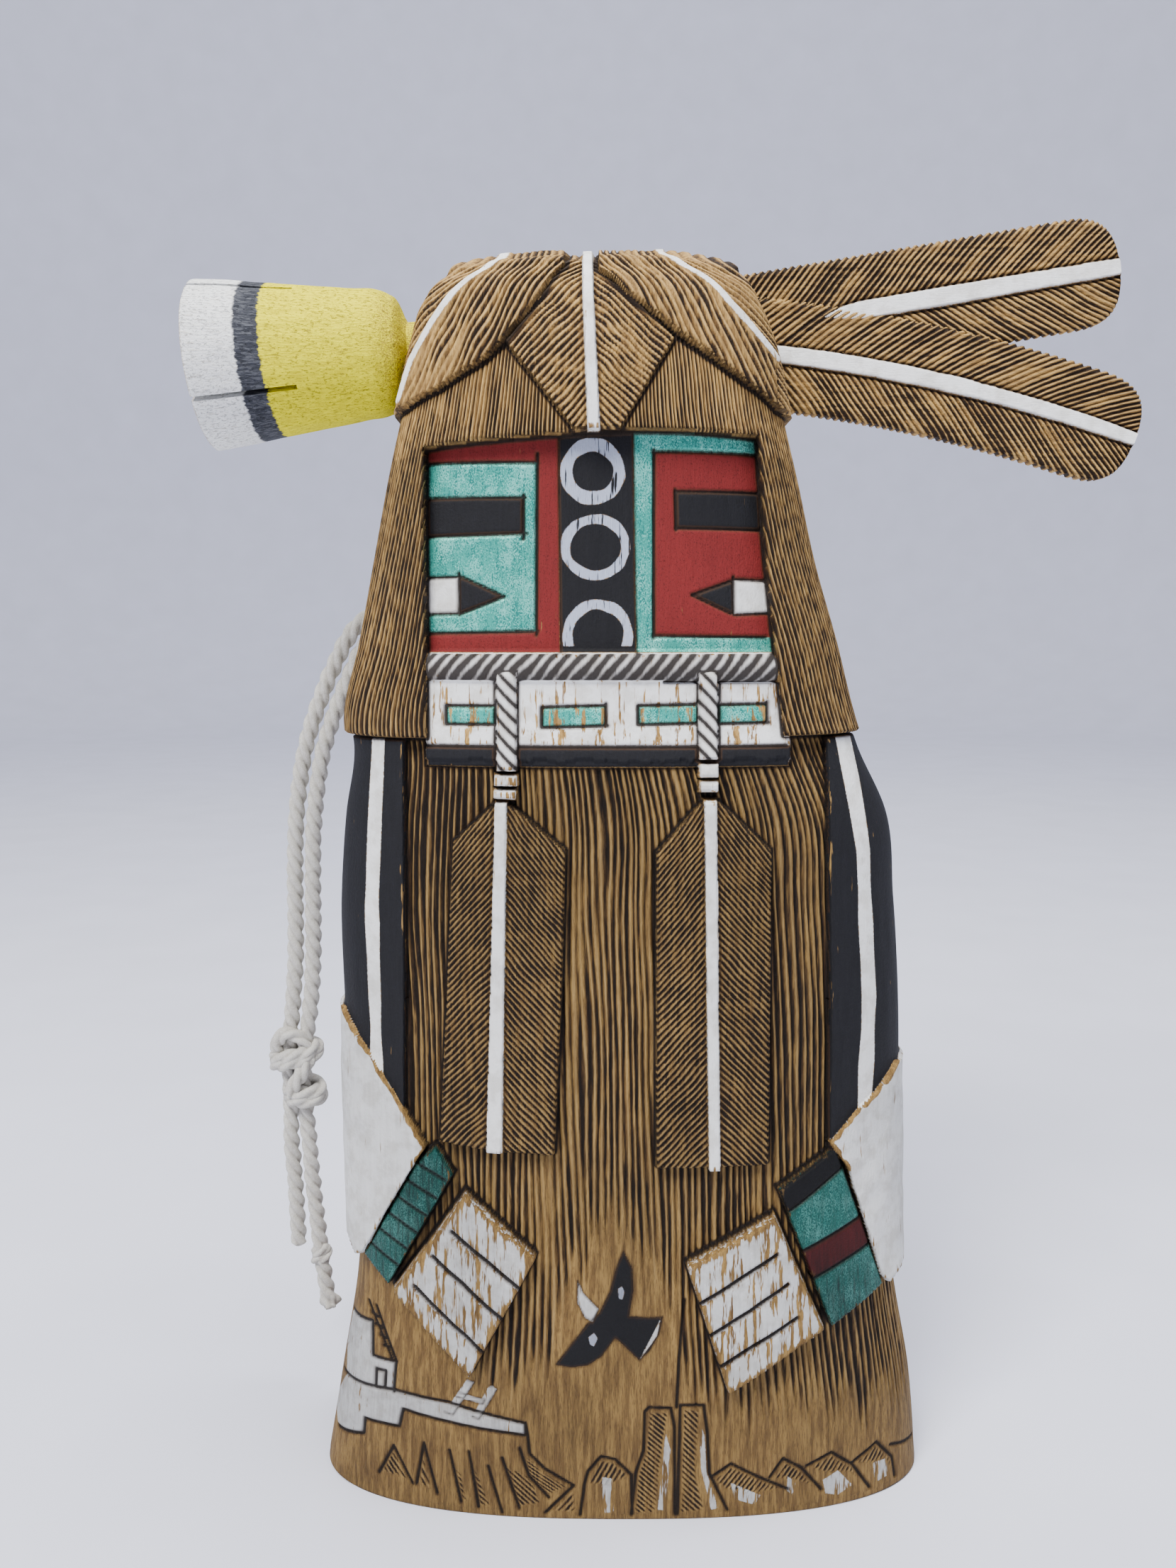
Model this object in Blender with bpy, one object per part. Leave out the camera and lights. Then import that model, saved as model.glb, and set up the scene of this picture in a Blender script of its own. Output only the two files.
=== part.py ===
"""A carved wooden kachina doll: a half-round block with its dress and hands carved in relief, a turned
squash blossom and a pair of carved feathers let into the sides of its head, and a doubled cord that
hangs from two holes in its flat back. The front faces -Y, and the origin is under the base's middle."""

import math

import bmesh
import bpy
from mathutils import Matrix, Vector

# The block, in metres. Its front is half round and its back is flat.
FIGURE_HEIGHT = 0.2365
BASE_WIDTH = 0.1206
FRONT_BULGE = 0.022
SIDE_DEPTH = 0.018
BACK_EDGE_BREAK = 0.0012

# How far each carved layer stands above the block's own surface.
HAIR_RAISED = 0.0032
CENTRE_FEATHER_RAISED = 0.0039
CENTRE_QUILL_RAISED = 0.0046
SIDE_FEATHER_RAISED = 0.0048
SIDE_QUILL_RAISED = 0.0053
SASH_RAISED = 0.0013
ROPE_RAISED = 0.0025
TIE_RAISED = 0.0029
CHEST_FEATHER_RAISED = 0.0022
CHEST_QUILL_RAISED = 0.0028
ARM_RAISED = 0.0018
WRISTBAND_RAISED = 0.0023
SLEEVE_RAISED = 0.0027
HAND_RAISED = 0.0031
SIDE_QUILL_WIDTH = 0.0017

# The squash blossom and the peg that holds it.
BLOSSOM_LENGTH = 0.0378
BLOSSOM_MOUTH_RADIUS = 0.0153
BLOSSOM_TILT_DEGREES = 4.0
BLOSSOM_CENTRE_Y = 0.0045
SLIT_WIDTH = 0.0009
SLIT_LENGTH = 0.0188
SLIT_TURN_DEGREES = 35.0
PEG_RADIUS = 0.0052
PEG_REACH = 0.0058
BLOSSOM_STANDOFF = 0.0016

# The pair of feathers, cut from one thin board.
BOARD_THICKNESS = 0.0030
BOARD_CENTRE_Y = 0.0100
LOWER_FEATHER_STEP = 0.0006
UPPER_FEATHER_LENGTH = 0.0758
LOWER_FEATHER_LENGTH = 0.0802
UPPER_FEATHER_RISE = 0.0124
LOWER_FEATHER_DROP = 0.0168
LOWER_FEATHER_BOW = 0.0028
UPPER_ROOT_LIFT = 0.0036
LOWER_ROOT_LIFT = 0.0008
FEATHER_HALF_WIDTH = 0.0102
FEATHER_TIP_LENGTH = 0.0105
BOARD_QUILL_WIDTH = 0.0026
BOARD_QUILL_RAISED = 0.0004
SLOT_PAST_ROOT = 0.0034
SLOT_CORNER = 0.0002

# The hanging cord and its two knots.
CORD_DIAMETER = 0.0032
CORD_HOLE_CLEARANCE = 0.0006
CORD_HOLE_DEPTH = 0.0080
CORD_HOLE_SPACING = 0.0068
STRAND_SPACING = 0.0038
CORD_STANDOFF = 0.0014
STRAND_DROP = 0.0001
KNOT_WIDTH = 0.0124
KNOT_DEPTH = 0.0090
KNOT_LENGTH = 0.0205
END_KNOT_WIDTH = 0.0050
END_KNOT_LENGTH = 0.0060

GAP = 0.0003
FRONT_STEPS = 24

# The carving is drawn on a grid whose unit is a millimetre at the figure's own size.
GRID_HEIGHT = 236.5
GRID_WIDTH = 120.6

BACK_Y = (FRONT_BULGE + SIDE_DEPTH) / 2
SIDE_Y = BACK_Y - SIDE_DEPTH
CORD_RADIUS = CORD_DIAMETER / 2

# Height, left edge and right edge on the grid, then the front bulge and the depth behind the sides
# as shares of the base's, then how much a raised layer also rises there.
BLOCK_ROWS = (
    (0.0, -60.3, 60.3, 1.00, 1.00, 0.0),
    (20.0, -57.0, 58.2, 0.99, 1.00, 0.0),
    (42.0, -53.2, 54.2, 0.94, 1.00, 0.0),
    (70.0, -53.0, 52.8, 0.87, 1.00, 0.0),
    (95.0, -53.0, 52.0, 0.845, 1.00, 0.0),
    (117.0, -53.2, 50.4, 0.83, 1.00, 0.0),
    (133.0, -51.8, 48.6, 0.82, 1.00, 0.0),
    (146.0, -50.0, 42.6, 0.80, 1.00, 0.0),
    (150.0, -50.4, 41.2, 0.77, 1.00, 0.0),
    (165.0, -47.2, 37.0, 0.75, 1.00, 0.0),
    (180.0, -44.0, 32.4, 0.72, 1.00, 0.0),
    (195.0, -41.0, 28.8, 0.71, 1.00, 0.0),
    (206.0, -38.4, 26.0, 0.72, 1.00, 0.0),
    (212.0, -36.8, 24.6, 0.71, 1.00, 0.15),
    (218.0, -35.0, 22.8, 0.67, 1.00, 0.30),
    (224.0, -32.6, 19.8, 0.59, 1.00, 0.50),
    (228.0, -28.6, 16.8, 0.48, 0.97, 0.75),
    (230.8, -21.0, 11.2, 0.35, 0.90, 0.95),
    (231.7, -11.0, 4.5, 0.21, 0.78, 1.00),
)

# Outlines on the grid, as (across, up) from the front. Where one runs past the block's side, the
# layer wraps round that side.
HAIR = (
    (-75, 148.3), (-36.0, 148.3), (-36.1, 163.5), (-36.2, 199.6), (-18.1, 200.8), (-3.8, 201.8),
    (8.1, 201.9), (23.2, 201.5), (24.5, 184.7), (26.1, 168.7), (28.3, 148.7), (70, 148.7),
    (70, 255), (-75, 255),
)
CENTRE_FEATHER = (
    (-10.9, 250), (-12.0, 231.0), (-21.7, 216.9), (-9.5, 201.6), (-1.4, 201.7), (8.2, 217.4),
    (-4.8, 230.0), (-5.6, 250),
)
CENTRE_QUILL = ((-8.3, 250), (-8.0, 225), (-7.1, 201.4), (-4.9, 201.4), (-6.0, 225), (-6.3, 250))
LEFT_SIDE_FEATHER = (
    (-11.0, 255), (-11.1, 232.7), (-15.3, 224.4), (-21.4, 217.2), (-25.4, 213.6), (-32.9, 209.4),
    (-40.7, 206.9), (-60, 204.5), (-60, 255),
)
RIGHT_SIDE_FEATHER = (
    (-5.4, 255), (-5.2, 230.8), (-0.4, 224.9), (8.2, 218.5), (14.1, 214.6), (20.1, 210.7),
    (27.8, 206.6), (50, 203.0), (50, 255),
)
LEFT_SIDE_QUILL = ((-20.0, 238.0), (-28.2, 227.9), (-34.2, 221.0), (-38.4, 215.0), (-41.0, 208.6))
RIGHT_SIDE_QUILL = ((6.0, 236.0), (12.5, 229.1), (17.2, 223.9), (21.8, 219.6), (26.6, 215.6))
SASH = ((-36.3, 143.3), (29.6, 143.3), (29.6, 147.2), (28.6, 158.9), (-36.3, 158.9))
ROPE = ((-36.4, 158.6), (27.6, 158.3), (27.4, 161.6), (26.4, 163.5), (-36.4, 163.5))
LEFT_TIE = ((-23.4, 142.6), (-19.8, 142.6), (-19.7, 160.0), (-23.3, 160.0))
RIGHT_TIE = ((12.8, 144.7), (16.2, 144.7), (16.1, 160.0), (12.7, 160.0))
TIE_BEADS = (
    ((-23.8, 139.9), (-19.6, 139.9), (-19.6, 141.9), (-23.7, 141.9)),
    ((-23.9, 137.6), (-19.9, 137.5), (-19.8, 139.2), (-23.8, 139.3)),
    ((12.8, 141.5), (16.2, 141.5), (16.2, 143.9), (12.8, 143.9)),
    ((12.9, 138.9), (16.2, 138.9), (16.2, 140.8), (12.9, 140.8)),
)
LEFT_CHEST_FEATHER = (
    (-24.2, 136.2), (-31.4, 129.5), (-34.5, 73.3), (-24.0, 72.1), (-13.2, 71.8), (-11.8, 103.2),
    (-11.0, 128.3), (-20.9, 136.5),
)
RIGHT_CHEST_FEATHER = (
    (13.1, 136.9), (5.3, 127.9), (5.6, 69.4), (26.4, 69.5), (26.1, 128.1), (16.5, 137.1),
)
LEFT_CHEST_QUILL = ((-23.7, 137.0), (-25.8, 71.9), (-22.7, 71.9), (-21.4, 137.0))
RIGHT_CHEST_QUILL = ((13.6, 137.4), (15.2, 69.0), (17.4, 69.0), (16.0, 137.4))
LEFT_ARM = ((-75, 148.0), (-40.3, 148.0), (-40.7, 114.6), (-41.4, 76.0), (-75, 79.0))
RIGHT_ARM = ((36.6, 148.2), (75, 148.2), (75, 76.0), (38.3, 71.0), (37.7, 101.4))
LEFT_SLEEVE = (
    (-75, 97.5), (-54.6, 95.6), (-47.8, 88.0), (-41.5, 79.0), (-37.3, 71.8), (-38.9, 69.4),
    (-50.7, 48.2), (-52.6, 46.8), (-56.0, 50.0), (-75, 53.0),
)
RIGHT_SLEEVE = (
    (75, 89.0), (52.4, 85.3), (46.6, 80.4), (43.5, 78.2), (38.1, 72.8), (42.1, 66.7), (45.5, 56.1),
    (49.5, 44.5), (51.2, 42.6), (54.6, 44.0), (75, 49.0),
)
LEFT_WRISTBAND = ((-38.9, 68.9), (-35.3, 72.3), (-32.1, 67.2), (-45.1, 43.7), (-50.4, 48.0))
RIGHT_WRISTBAND = ((28.4, 64.6), (39.3, 71.6), (49.9, 42.8), (38.8, 37.3))
LEFT_HAND = ((-29.8, 64.1), (-16.6, 52.5), (-29.1, 29.0), (-44.1, 43.1))
RIGHT_HAND = ((11.2, 51.2), (27.7, 59.9), (37.3, 37.5), (19.1, 26.6))

# Place along the blossom from the peg's end to the mouth, and radius, as shares.
BLOSSOM_OUTSIDE = (
    (0.0, 0.42), (0.02, 0.56), (0.065, 0.67), (0.12, 0.73), (0.22, 0.76), (0.45, 0.83),
    (0.68, 0.90), (0.85, 0.96), (1.0, 1.0),
)
BLOSSOM_DISH = ((1.0, 0.80), (0.92, 0.60), (0.88, 0.30))
BLOSSOM_SIDES = 36

# Where the blossom, the feathers and the cord meet the block, on the grid.
BLOSSOM_HEIGHT = 219.4
FEATHER_ROOT = (18.0, 220.0)
CORD_HOLES_MIDDLE = (-36.0, 174.6)
CORD_ROUTE = (
    (-44.0, 173.2), (-54.6, 166.3), (-58.9, 158.6), (-62.1, 150.9), (-64.7, 143.1), (-66.2, 135.4),
    (-67.2, 127.0), (-67.7, 117.4), (-67.9, 107.4), (-68.2, 97.0), (-69.2, 86.0),
)
KNOT_CENTRE = (-70.3, 73.0)
LEFT_TAIL = ((-72.3, 61.0), (-71.9, 50.0), (-71.5, 40.0), (-71.3, 31.8))
RIGHT_TAIL = ((-68.5, 61.0), (-67.9, 50.0), (-67.2, 41.0), (-66.6, 34.0))
END_KNOT_CENTRE = (-66.3, 30.0)
CORD_TIP = ((-65.8, 25.9), (-65.2, 21.5), (-64.2, 17.0))

# Each knot's width along its length, as shares of its full width.
KNOT_BULGES = (0.66, 0.95, 1.0, 0.86, 0.97, 0.9, 0.64)
END_KNOT_BULGES = (0.66, 1.0, 1.0, 0.66)


def across(units):
    """Metres across the figure for a number of grid units."""
    return units * BASE_WIDTH / GRID_WIDTH


def up(units):
    """Metres above the base for a number of grid units."""
    return units * FIGURE_HEIGHT / GRID_HEIGHT


def clear_scene():
    for obj in list(bpy.data.objects):
        bpy.data.objects.remove(obj, do_unlink=True)


def material(name, colour, roughness):
    made = bpy.data.materials.new(name)
    made.use_nodes = True
    shader = made.node_tree.nodes["Principled BSDF"]
    shader.inputs["Base Color"].default_value = (*colour, 1.0)
    shader.inputs["Roughness"].default_value = roughness
    shader.inputs["Metallic"].default_value = 0.0
    return made


def object_from(name, mesh):
    made = bpy.data.objects.new(name, mesh)
    bpy.context.scene.collection.objects.link(made)
    return made


def solid_object(name, bm):
    """One closed mesh of triangles that faces outwards."""
    bmesh.ops.triangulate(bm, faces=bm.faces[:])
    bmesh.ops.recalc_face_normals(bm, faces=bm.faces[:])
    mesh = bpy.data.meshes.new(name)
    bm.to_mesh(mesh)
    bm.free()
    mesh.shade_smooth()
    mesh.set_sharp_from_angle(angle=math.radians(32))
    return object_from(name, mesh)


def stack_of_rings(name, rings):
    """A solid through rings of as many points each, closed flat at both ends."""
    bm = bmesh.new()
    loops = [[bm.verts.new(point) for point in ring] for ring in rings]
    for lower, upper in zip(loops, loops[1:]):
        count = len(lower)
        for i in range(count):
            j = (i + 1) % count
            bm.faces.new((lower[i], lower[j], upper[j], upper[i]))
    bm.faces.new(loops[0])
    bm.faces.new(loops[-1])
    return solid_object(name, bm)


def prism(name, outline, front_y, back_y):
    """A solid with an outline of (x, z) in metres, from front_y to back_y."""
    bm = bmesh.new()
    front = [bm.verts.new((x, front_y, z)) for x, z in outline]
    back = [bm.verts.new((x, back_y, z)) for x, z in outline]
    count = len(front)
    for i in range(count):
        j = (i + 1) % count
        bm.faces.new((front[i], front[j], back[j], back[i]))
    bm.faces.new(front)
    bm.faces.new(back)
    return solid_object(name, bm)


def hide_as_cutter(obj):
    obj.hide_render = True
    obj.display_type = "WIRE"
    return obj


def boolean(target, other, operation, solver="EXACT"):
    """The carved layers' faces nearly coincide with the block's, where only MANIFOLD keeps every part."""
    step = target.modifiers.new(f"{operation.lower()} {other.name}", "BOOLEAN")
    step.object = other
    step.operation = operation
    step.solver = solver


def add_to(target, other, solver="EXACT"):
    boolean(target, hide_as_cutter(other), "UNION", solver)


def cut_from(target, other, solver="EXACT"):
    boolean(target, hide_as_cutter(other), "DIFFERENCE", solver)


def rounded(share):
    """Turns a cosine or sine into a squarer curve's, so that the front is a fuller half round."""
    return math.copysign(abs(share) ** 0.8, share)


def block_ring(row, raised):
    height, left, right, bulge, depth, lift = row
    middle = across((left + right) / 2)
    half = across((right - left) / 2) + raised
    front = bulge * FRONT_BULGE + raised
    back = SIDE_Y + depth * SIDE_DEPTH
    z = up(height) + lift * raised
    ring = []
    for step in range(FRONT_STEPS + 1):
        angle = math.pi * step / FRONT_STEPS
        x = middle - half * rounded(math.cos(angle))
        ring.append((x, SIDE_Y - front * rounded(math.sin(angle)), z))
    ring.append((middle + half, back - BACK_EDGE_BREAK, z))
    ring.append((middle + half - BACK_EDGE_BREAK, back, z))
    ring.append((middle - half + BACK_EDGE_BREAK, back, z))
    ring.append((middle - half, back - BACK_EDGE_BREAK, z))
    return ring


def block(name, raised=0.0):
    """The bare half-round block, or the same block with its front and sides moved out."""
    return stack_of_rings(name, [block_ring(row, raised) for row in BLOCK_ROWS])


def side_at(height, side, raised):
    """How far out the block's side is at a height on the grid, in metres: side is 1 left, 2 right."""
    for low, high in zip(BLOCK_ROWS, BLOCK_ROWS[1:]):
        if low[0] <= height <= high[0]:
            share = (height - low[0]) / (high[0] - low[0])
            edge = low[side] + share * (high[side] - low[side])
            return across(edge) + (raised if side == 2 else -raised)
    raise ValueError("height is off the block")


def ribbon(line, width):
    """The outline of a strip of one width along a line of (x, z) in metres."""
    sides = ([], [])
    for i, (x, z) in enumerate(line):
        before = line[max(i - 1, 0)]
        after = line[min(i + 1, len(line) - 1)]
        along = Vector((after[0] - before[0], after[1] - before[1])).normalized()
        for side, sign in zip(sides, (1, -1)):
            side.append((x - sign * along.y * width / 2, z + sign * along.x * width / 2))
    return sides[0] + sides[1][::-1]


def on_figure(outline):
    return [(across(x), up(z)) for x, z in outline]


def carve(body, name, outline, raised, back_y):
    """Adds the part of the block's raised surface that lies inside an outline in metres."""
    layer = prism(name, outline, -FRONT_BULGE * 3, back_y)
    boolean(layer, hide_as_cutter(block(f"{name}_surface", raised)), "INTERSECT", "MANIFOLD")
    add_to(body, layer, "MANIFOLD")


def carved_layers():
    """Name, outline, height above the block and how far back it reaches, for each carved layer."""
    inside = SIDE_Y + 0.1 * SIDE_DEPTH
    round_side = SIDE_Y + 0.93 * SIDE_DEPTH
    arm_back = SIDE_Y + 0.75 * SIDE_DEPTH
    rows = [
        ("hair", HAIR, HAIR_RAISED, round_side),
        ("centre_feather", CENTRE_FEATHER, CENTRE_FEATHER_RAISED, inside),
        ("centre_quill", CENTRE_QUILL, CENTRE_QUILL_RAISED, inside),
        ("left_side_feather", LEFT_SIDE_FEATHER, SIDE_FEATHER_RAISED, arm_back),
        ("right_side_feather", RIGHT_SIDE_FEATHER, SIDE_FEATHER_RAISED, arm_back),
        ("sash", SASH, SASH_RAISED, inside),
        ("rope", ROPE, ROPE_RAISED, inside),
        ("left_tie", LEFT_TIE, TIE_RAISED, inside),
        ("right_tie", RIGHT_TIE, TIE_RAISED, inside),
        ("left_chest_feather", LEFT_CHEST_FEATHER, CHEST_FEATHER_RAISED, inside),
        ("right_chest_feather", RIGHT_CHEST_FEATHER, CHEST_FEATHER_RAISED, inside),
        ("left_chest_quill", LEFT_CHEST_QUILL, CHEST_QUILL_RAISED, inside),
        ("right_chest_quill", RIGHT_CHEST_QUILL, CHEST_QUILL_RAISED, inside),
        ("left_arm", LEFT_ARM, ARM_RAISED, arm_back),
        ("right_arm", RIGHT_ARM, ARM_RAISED, arm_back),
        ("left_wristband", LEFT_WRISTBAND, WRISTBAND_RAISED, inside),
        ("right_wristband", RIGHT_WRISTBAND, WRISTBAND_RAISED, inside),
        ("left_sleeve", LEFT_SLEEVE, SLEEVE_RAISED, arm_back),
        ("right_sleeve", RIGHT_SLEEVE, SLEEVE_RAISED, arm_back),
        ("left_hand", LEFT_HAND, HAND_RAISED, inside),
        ("right_hand", RIGHT_HAND, HAND_RAISED, inside),
    ]
    bead_raised = (CHEST_FEATHER_RAISED + TIE_RAISED) / 2
    rows += [(f"tie_bead_{i}", bead, bead_raised, inside) for i, bead in enumerate(TIE_BEADS, 1)]
    layers = [(name, on_figure(outline), raised, back) for name, outline, raised, back in rows]
    for name, line in (("left_side_quill", LEFT_SIDE_QUILL), ("right_side_quill", RIGHT_SIDE_QUILL)):
        outline = ribbon(on_figure(line), SIDE_QUILL_WIDTH)
        layers.append((name, outline, SIDE_QUILL_RAISED, inside))
    return layers


def blossom_placement():
    """Puts an upright turned shape's foot at the blossom's inner end, pointing out to the left."""
    end_x = side_at(BLOSSOM_HEIGHT, 1, SIDE_FEATHER_RAISED) - BLOSSOM_STANDOFF
    tilt = math.radians(BLOSSOM_TILT_DEGREES)
    turned = Matrix.Rotation(-math.pi / 2 - tilt, 4, "Y")
    return Matrix.Translation((end_x, BLOSSOM_CENTRE_Y, up(BLOSSOM_HEIGHT))) @ turned


def turned_rings(rows, sides, placement):
    """Circles about the Z axis for rows of (height, radius), moved into place."""
    rings = []
    for height, radius in rows:
        ring = []
        for i in range(sides):
            angle = 2 * math.pi * i / sides
            point = Vector((radius * math.cos(angle), radius * math.sin(angle), height))
            ring.append(placement @ point)
        rings.append(ring)
    return rings


def make_blossom():
    placement = blossom_placement()
    rows = [(-PEG_REACH, PEG_RADIUS), (0.0, PEG_RADIUS)]
    for along, radius in BLOSSOM_OUTSIDE + BLOSSOM_DISH:
        rows.append((along * BLOSSOM_LENGTH, radius * BLOSSOM_MOUTH_RADIUS))
    blossom = stack_of_rings("squash_blossom", turned_rings(rows, BLOSSOM_SIDES, placement))
    first_turn = math.radians(SLIT_TURN_DEGREES)
    for name, turn in (("slit_a", first_turn), ("slit_b", first_turn + math.pi / 2)):
        half = BLOSSOM_MOUTH_RADIUS * 1.4
        corners = [(-SLIT_WIDTH / 2, -half), (SLIT_WIDTH / 2, -half)]
        corners += [(SLIT_WIDTH / 2, half), (-SLIT_WIDTH / 2, half)]
        turning = Matrix.Rotation(turn, 4, "Z")
        rings = []
        for height in (BLOSSOM_LENGTH - SLIT_LENGTH, BLOSSOM_LENGTH * 1.2):
            rings.append([placement @ (turning @ Vector((x, y, height))) for x, y in corners])
        cut_from(blossom, stack_of_rings(name, rings))
    blossom.data.materials.append(material("blossom_yellow", (0.79, 0.68, 0.03), 0.7))
    return blossom


def cut_blossom_socket(body):
    """A hole for the peg, and a shallow seat where the blossom's round end nests in the head."""
    rows = [(-PEG_REACH - GAP, PEG_RADIUS + GAP), (-GAP, PEG_RADIUS + GAP)]
    for along, radius in BLOSSOM_OUTSIDE[:6]:
        rows.append((along * BLOSSOM_LENGTH - GAP, radius * BLOSSOM_MOUTH_RADIUS + GAP))
    rings = turned_rings(rows, BLOSSOM_SIDES, blossom_placement())
    cut_from(body, stack_of_rings("blossom_socket", rings), "MANIFOLD")


def feather_root():
    return across(FEATHER_ROOT[0]), up(FEATHER_ROOT[1])


def quill_line(length, rise, bow, lift, start=0.0, steps=14):
    """Points from lift above the root to a feather's tip, bent by bow at its middle, in metres."""
    root_x, root_z = feather_root()
    line = []
    for step in range(steps + 1):
        share = start + (1 - start) * step / steps
        bend = 4 * bow * share * (1 - share)
        line.append((root_x + length * share, root_z + lift + rise * share + bend))
    return line


def feather_outline(line, half_width, tip_length):
    """A blade about its quill, with a squarish round tip."""
    tip_x = line[-1][0]
    sides = ([], [])
    for i, (x, z) in enumerate(line):
        before = line[max(i - 1, 0)]
        after = line[min(i + 1, len(line) - 1)]
        along = Vector((after[0] - before[0], after[1] - before[1])).normalized()
        past = max(0.0, 1 - (tip_x - x) / tip_length)
        half = half_width * (1 - min(past, 0.995) ** 3) ** (1 / 3)
        for side, sign in zip(sides, (1, -1)):
            side.append((x - sign * along.y * half, z + sign * along.x * half))
    return sides[0] + sides[1][::-1]


def finer_at_tip(line, tip_length):
    """The same line with more points where the tip rounds."""
    (x0, z0), (x1, z1) = line[-2], line[-1]
    slope = (z1 - z0) / (x1 - x0)
    body = [point for point in line if point[0] < x1 - tip_length]
    tip = []
    for step in range(9):
        share = 1 - (1 - step / 8) ** 2
        x = x1 - tip_length * (1 - share)
        tip.append((x, z1 - (x1 - x) * slope))
    return body + tip


# The upper feather leaves the head a little above the root's middle, the lower one near it.
UPPER_QUILL = dict(
    length=UPPER_FEATHER_LENGTH,
    rise=UPPER_FEATHER_RISE,
    bow=0.0,
    lift=UPPER_ROOT_LIFT,
)
LOWER_QUILL = dict(
    length=LOWER_FEATHER_LENGTH,
    rise=-LOWER_FEATHER_DROP,
    bow=LOWER_FEATHER_BOW,
    lift=LOWER_ROOT_LIFT,
)


def make_feather_pair():
    front = BOARD_CENTRE_Y - BOARD_THICKNESS / 2
    back = BOARD_CENTRE_Y + BOARD_THICKNESS / 2
    blades = []
    for name, quill, step in (
        ("upper_blade", UPPER_QUILL, 0.0),
        ("lower_blade", LOWER_QUILL, LOWER_FEATHER_STEP),
    ):
        line = finer_at_tip(quill_line(**quill), FEATHER_TIP_LENGTH)
        outline = feather_outline(line, FEATHER_HALF_WIDTH, FEATHER_TIP_LENGTH)
        blades.append((name, outline, front - step))
    pair = prism("feather_pair", blades[1][1], blades[1][2], back)
    add_to(pair, prism(blades[0][0], blades[0][1], blades[0][2], back - GAP), "MANIFOLD")
    for name, quill, start, step in (
        ("upper_quill", UPPER_QUILL, 0.24, 0.0),
        ("lower_quill", LOWER_QUILL, 0.0, LOWER_FEATHER_STEP),
    ):
        strip = ribbon(quill_line(**quill, start=start), BOARD_QUILL_WIDTH)
        add_to(pair, prism(name, strip, front - step - BOARD_QUILL_RAISED, BOARD_CENTRE_Y), "MANIFOLD")
    pair.data.materials.append(material("feather_wood", (0.42, 0.25, 0.10), 0.75))
    return pair


def cut_feather_slot(body):
    """A slot from the right side of the head, open above, that follows the board's root and lower edge."""
    root_x, root_z = feather_root()
    lower = quill_line(**LOWER_QUILL)
    reach = FEATHER_HALF_WIDTH + GAP
    floor = [(x, z - reach * 1.02) for x, z in lower[:7]]
    far_x = lower[6][0]
    high = up(GRID_HEIGHT) + FEATHER_HALF_WIDTH
    start = root_x - SLOT_PAST_ROOT
    outline = [(start, floor[0][1] + SLOT_CORNER)] + floor + [(far_x, high), (start, high)]
    front = BOARD_CENTRE_Y - BOARD_THICKNESS / 2 - LOWER_FEATHER_STEP - BOARD_QUILL_RAISED - GAP
    back = BOARD_CENTRE_Y + BOARD_THICKNESS / 2 + GAP
    cut_from(body, prism("feather_slot", outline, front, back), "MANIFOLD")


def cord_hole(index):
    """Middle of a cord hole on the back, as (x, z): 0 is the upper one."""
    x, z = CORD_HOLES_MIDDLE
    return across(x), up(z) + (0.5 - index) * CORD_HOLE_SPACING


def cut_cord_holes(body):
    for index in range(2):
        x, z = cord_hole(index)
        radius = CORD_RADIUS + CORD_HOLE_CLEARANCE
        placement = Matrix.Translation((x, BACK_Y, z)) @ Matrix.Rotation(-math.pi / 2, 4, "X")
        rows = [(-CORD_HOLE_DEPTH, radius), (CORD_HOLE_DEPTH / 2, radius)]
        rings = turned_rings(rows, 16, placement)
        cut_from(body, stack_of_rings(f"cord_hole_{index + 1}", rings), "MANIFOLD")


def smooth_route(points, spacing):
    """Points at even spacing along a smooth curve through the given ones."""
    fine = []
    for i in range(len(points) - 1):
        p0 = points[max(i - 1, 0)]
        p1, p2 = points[i], points[i + 1]
        p3 = points[min(i + 2, len(points) - 1)]
        for step in range(16):
            t = step / 16
            fine.append(
                0.5 * (2 * p1 + (p2 - p0) * t + (2 * p0 - 5 * p1 + 4 * p2 - p3) * t * t
                       + (3 * p1 - p0 - 3 * p2 + p3) * t ** 3)
            )
    fine.append(points[-1])
    lengths = [0.0]
    for a, b in zip(fine, fine[1:]):
        lengths.append(lengths[-1] + (b - a).length)
    count = max(2, round(lengths[-1] / spacing))
    even, at = [fine[0]], 0
    for step in range(1, count):
        wanted = lengths[-1] * step / count
        while lengths[at + 1] < wanted:
            at += 1
        share = (wanted - lengths[at]) / (lengths[at + 1] - lengths[at])
        even.append(fine[at].lerp(fine[at + 1], share))
    even.append(fine[-1])
    return even


def cord_y():
    """The cord lies just behind the block's flat back."""
    return BACK_Y + CORD_RADIUS + CORD_STANDOFF


def beside(route, distance):
    """A route moved sideways in the plane of the back."""
    moved = []
    for i, point in enumerate(route):
        along = (route[min(i + 1, len(route) - 1)] - route[max(i - 1, 0)]).normalized()
        moved.append(point + Vector((along.z, 0, -along.x)) * distance)
    return moved


def on_back(points):
    return [Vector((across(x), cord_y(), up(z))) for x, z in points]


def tube(name, points, spacing=2.4 * CORD_DIAMETER):
    curve = bpy.data.curves.new(name, "CURVE")
    curve.dimensions = "3D"
    curve.bevel_depth = CORD_RADIUS
    curve.bevel_resolution = 2
    curve.use_fill_caps = True
    route = smooth_route(points, spacing)
    spline = curve.splines.new("POLY")
    spline.points.add(len(route) - 1)
    for place, point in zip(spline.points, route):
        place.co = (*point, 1.0)
    made = object_from(name, curve)
    made.data.materials.append(bpy.data.materials["cotton_cord"])
    return made


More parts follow.
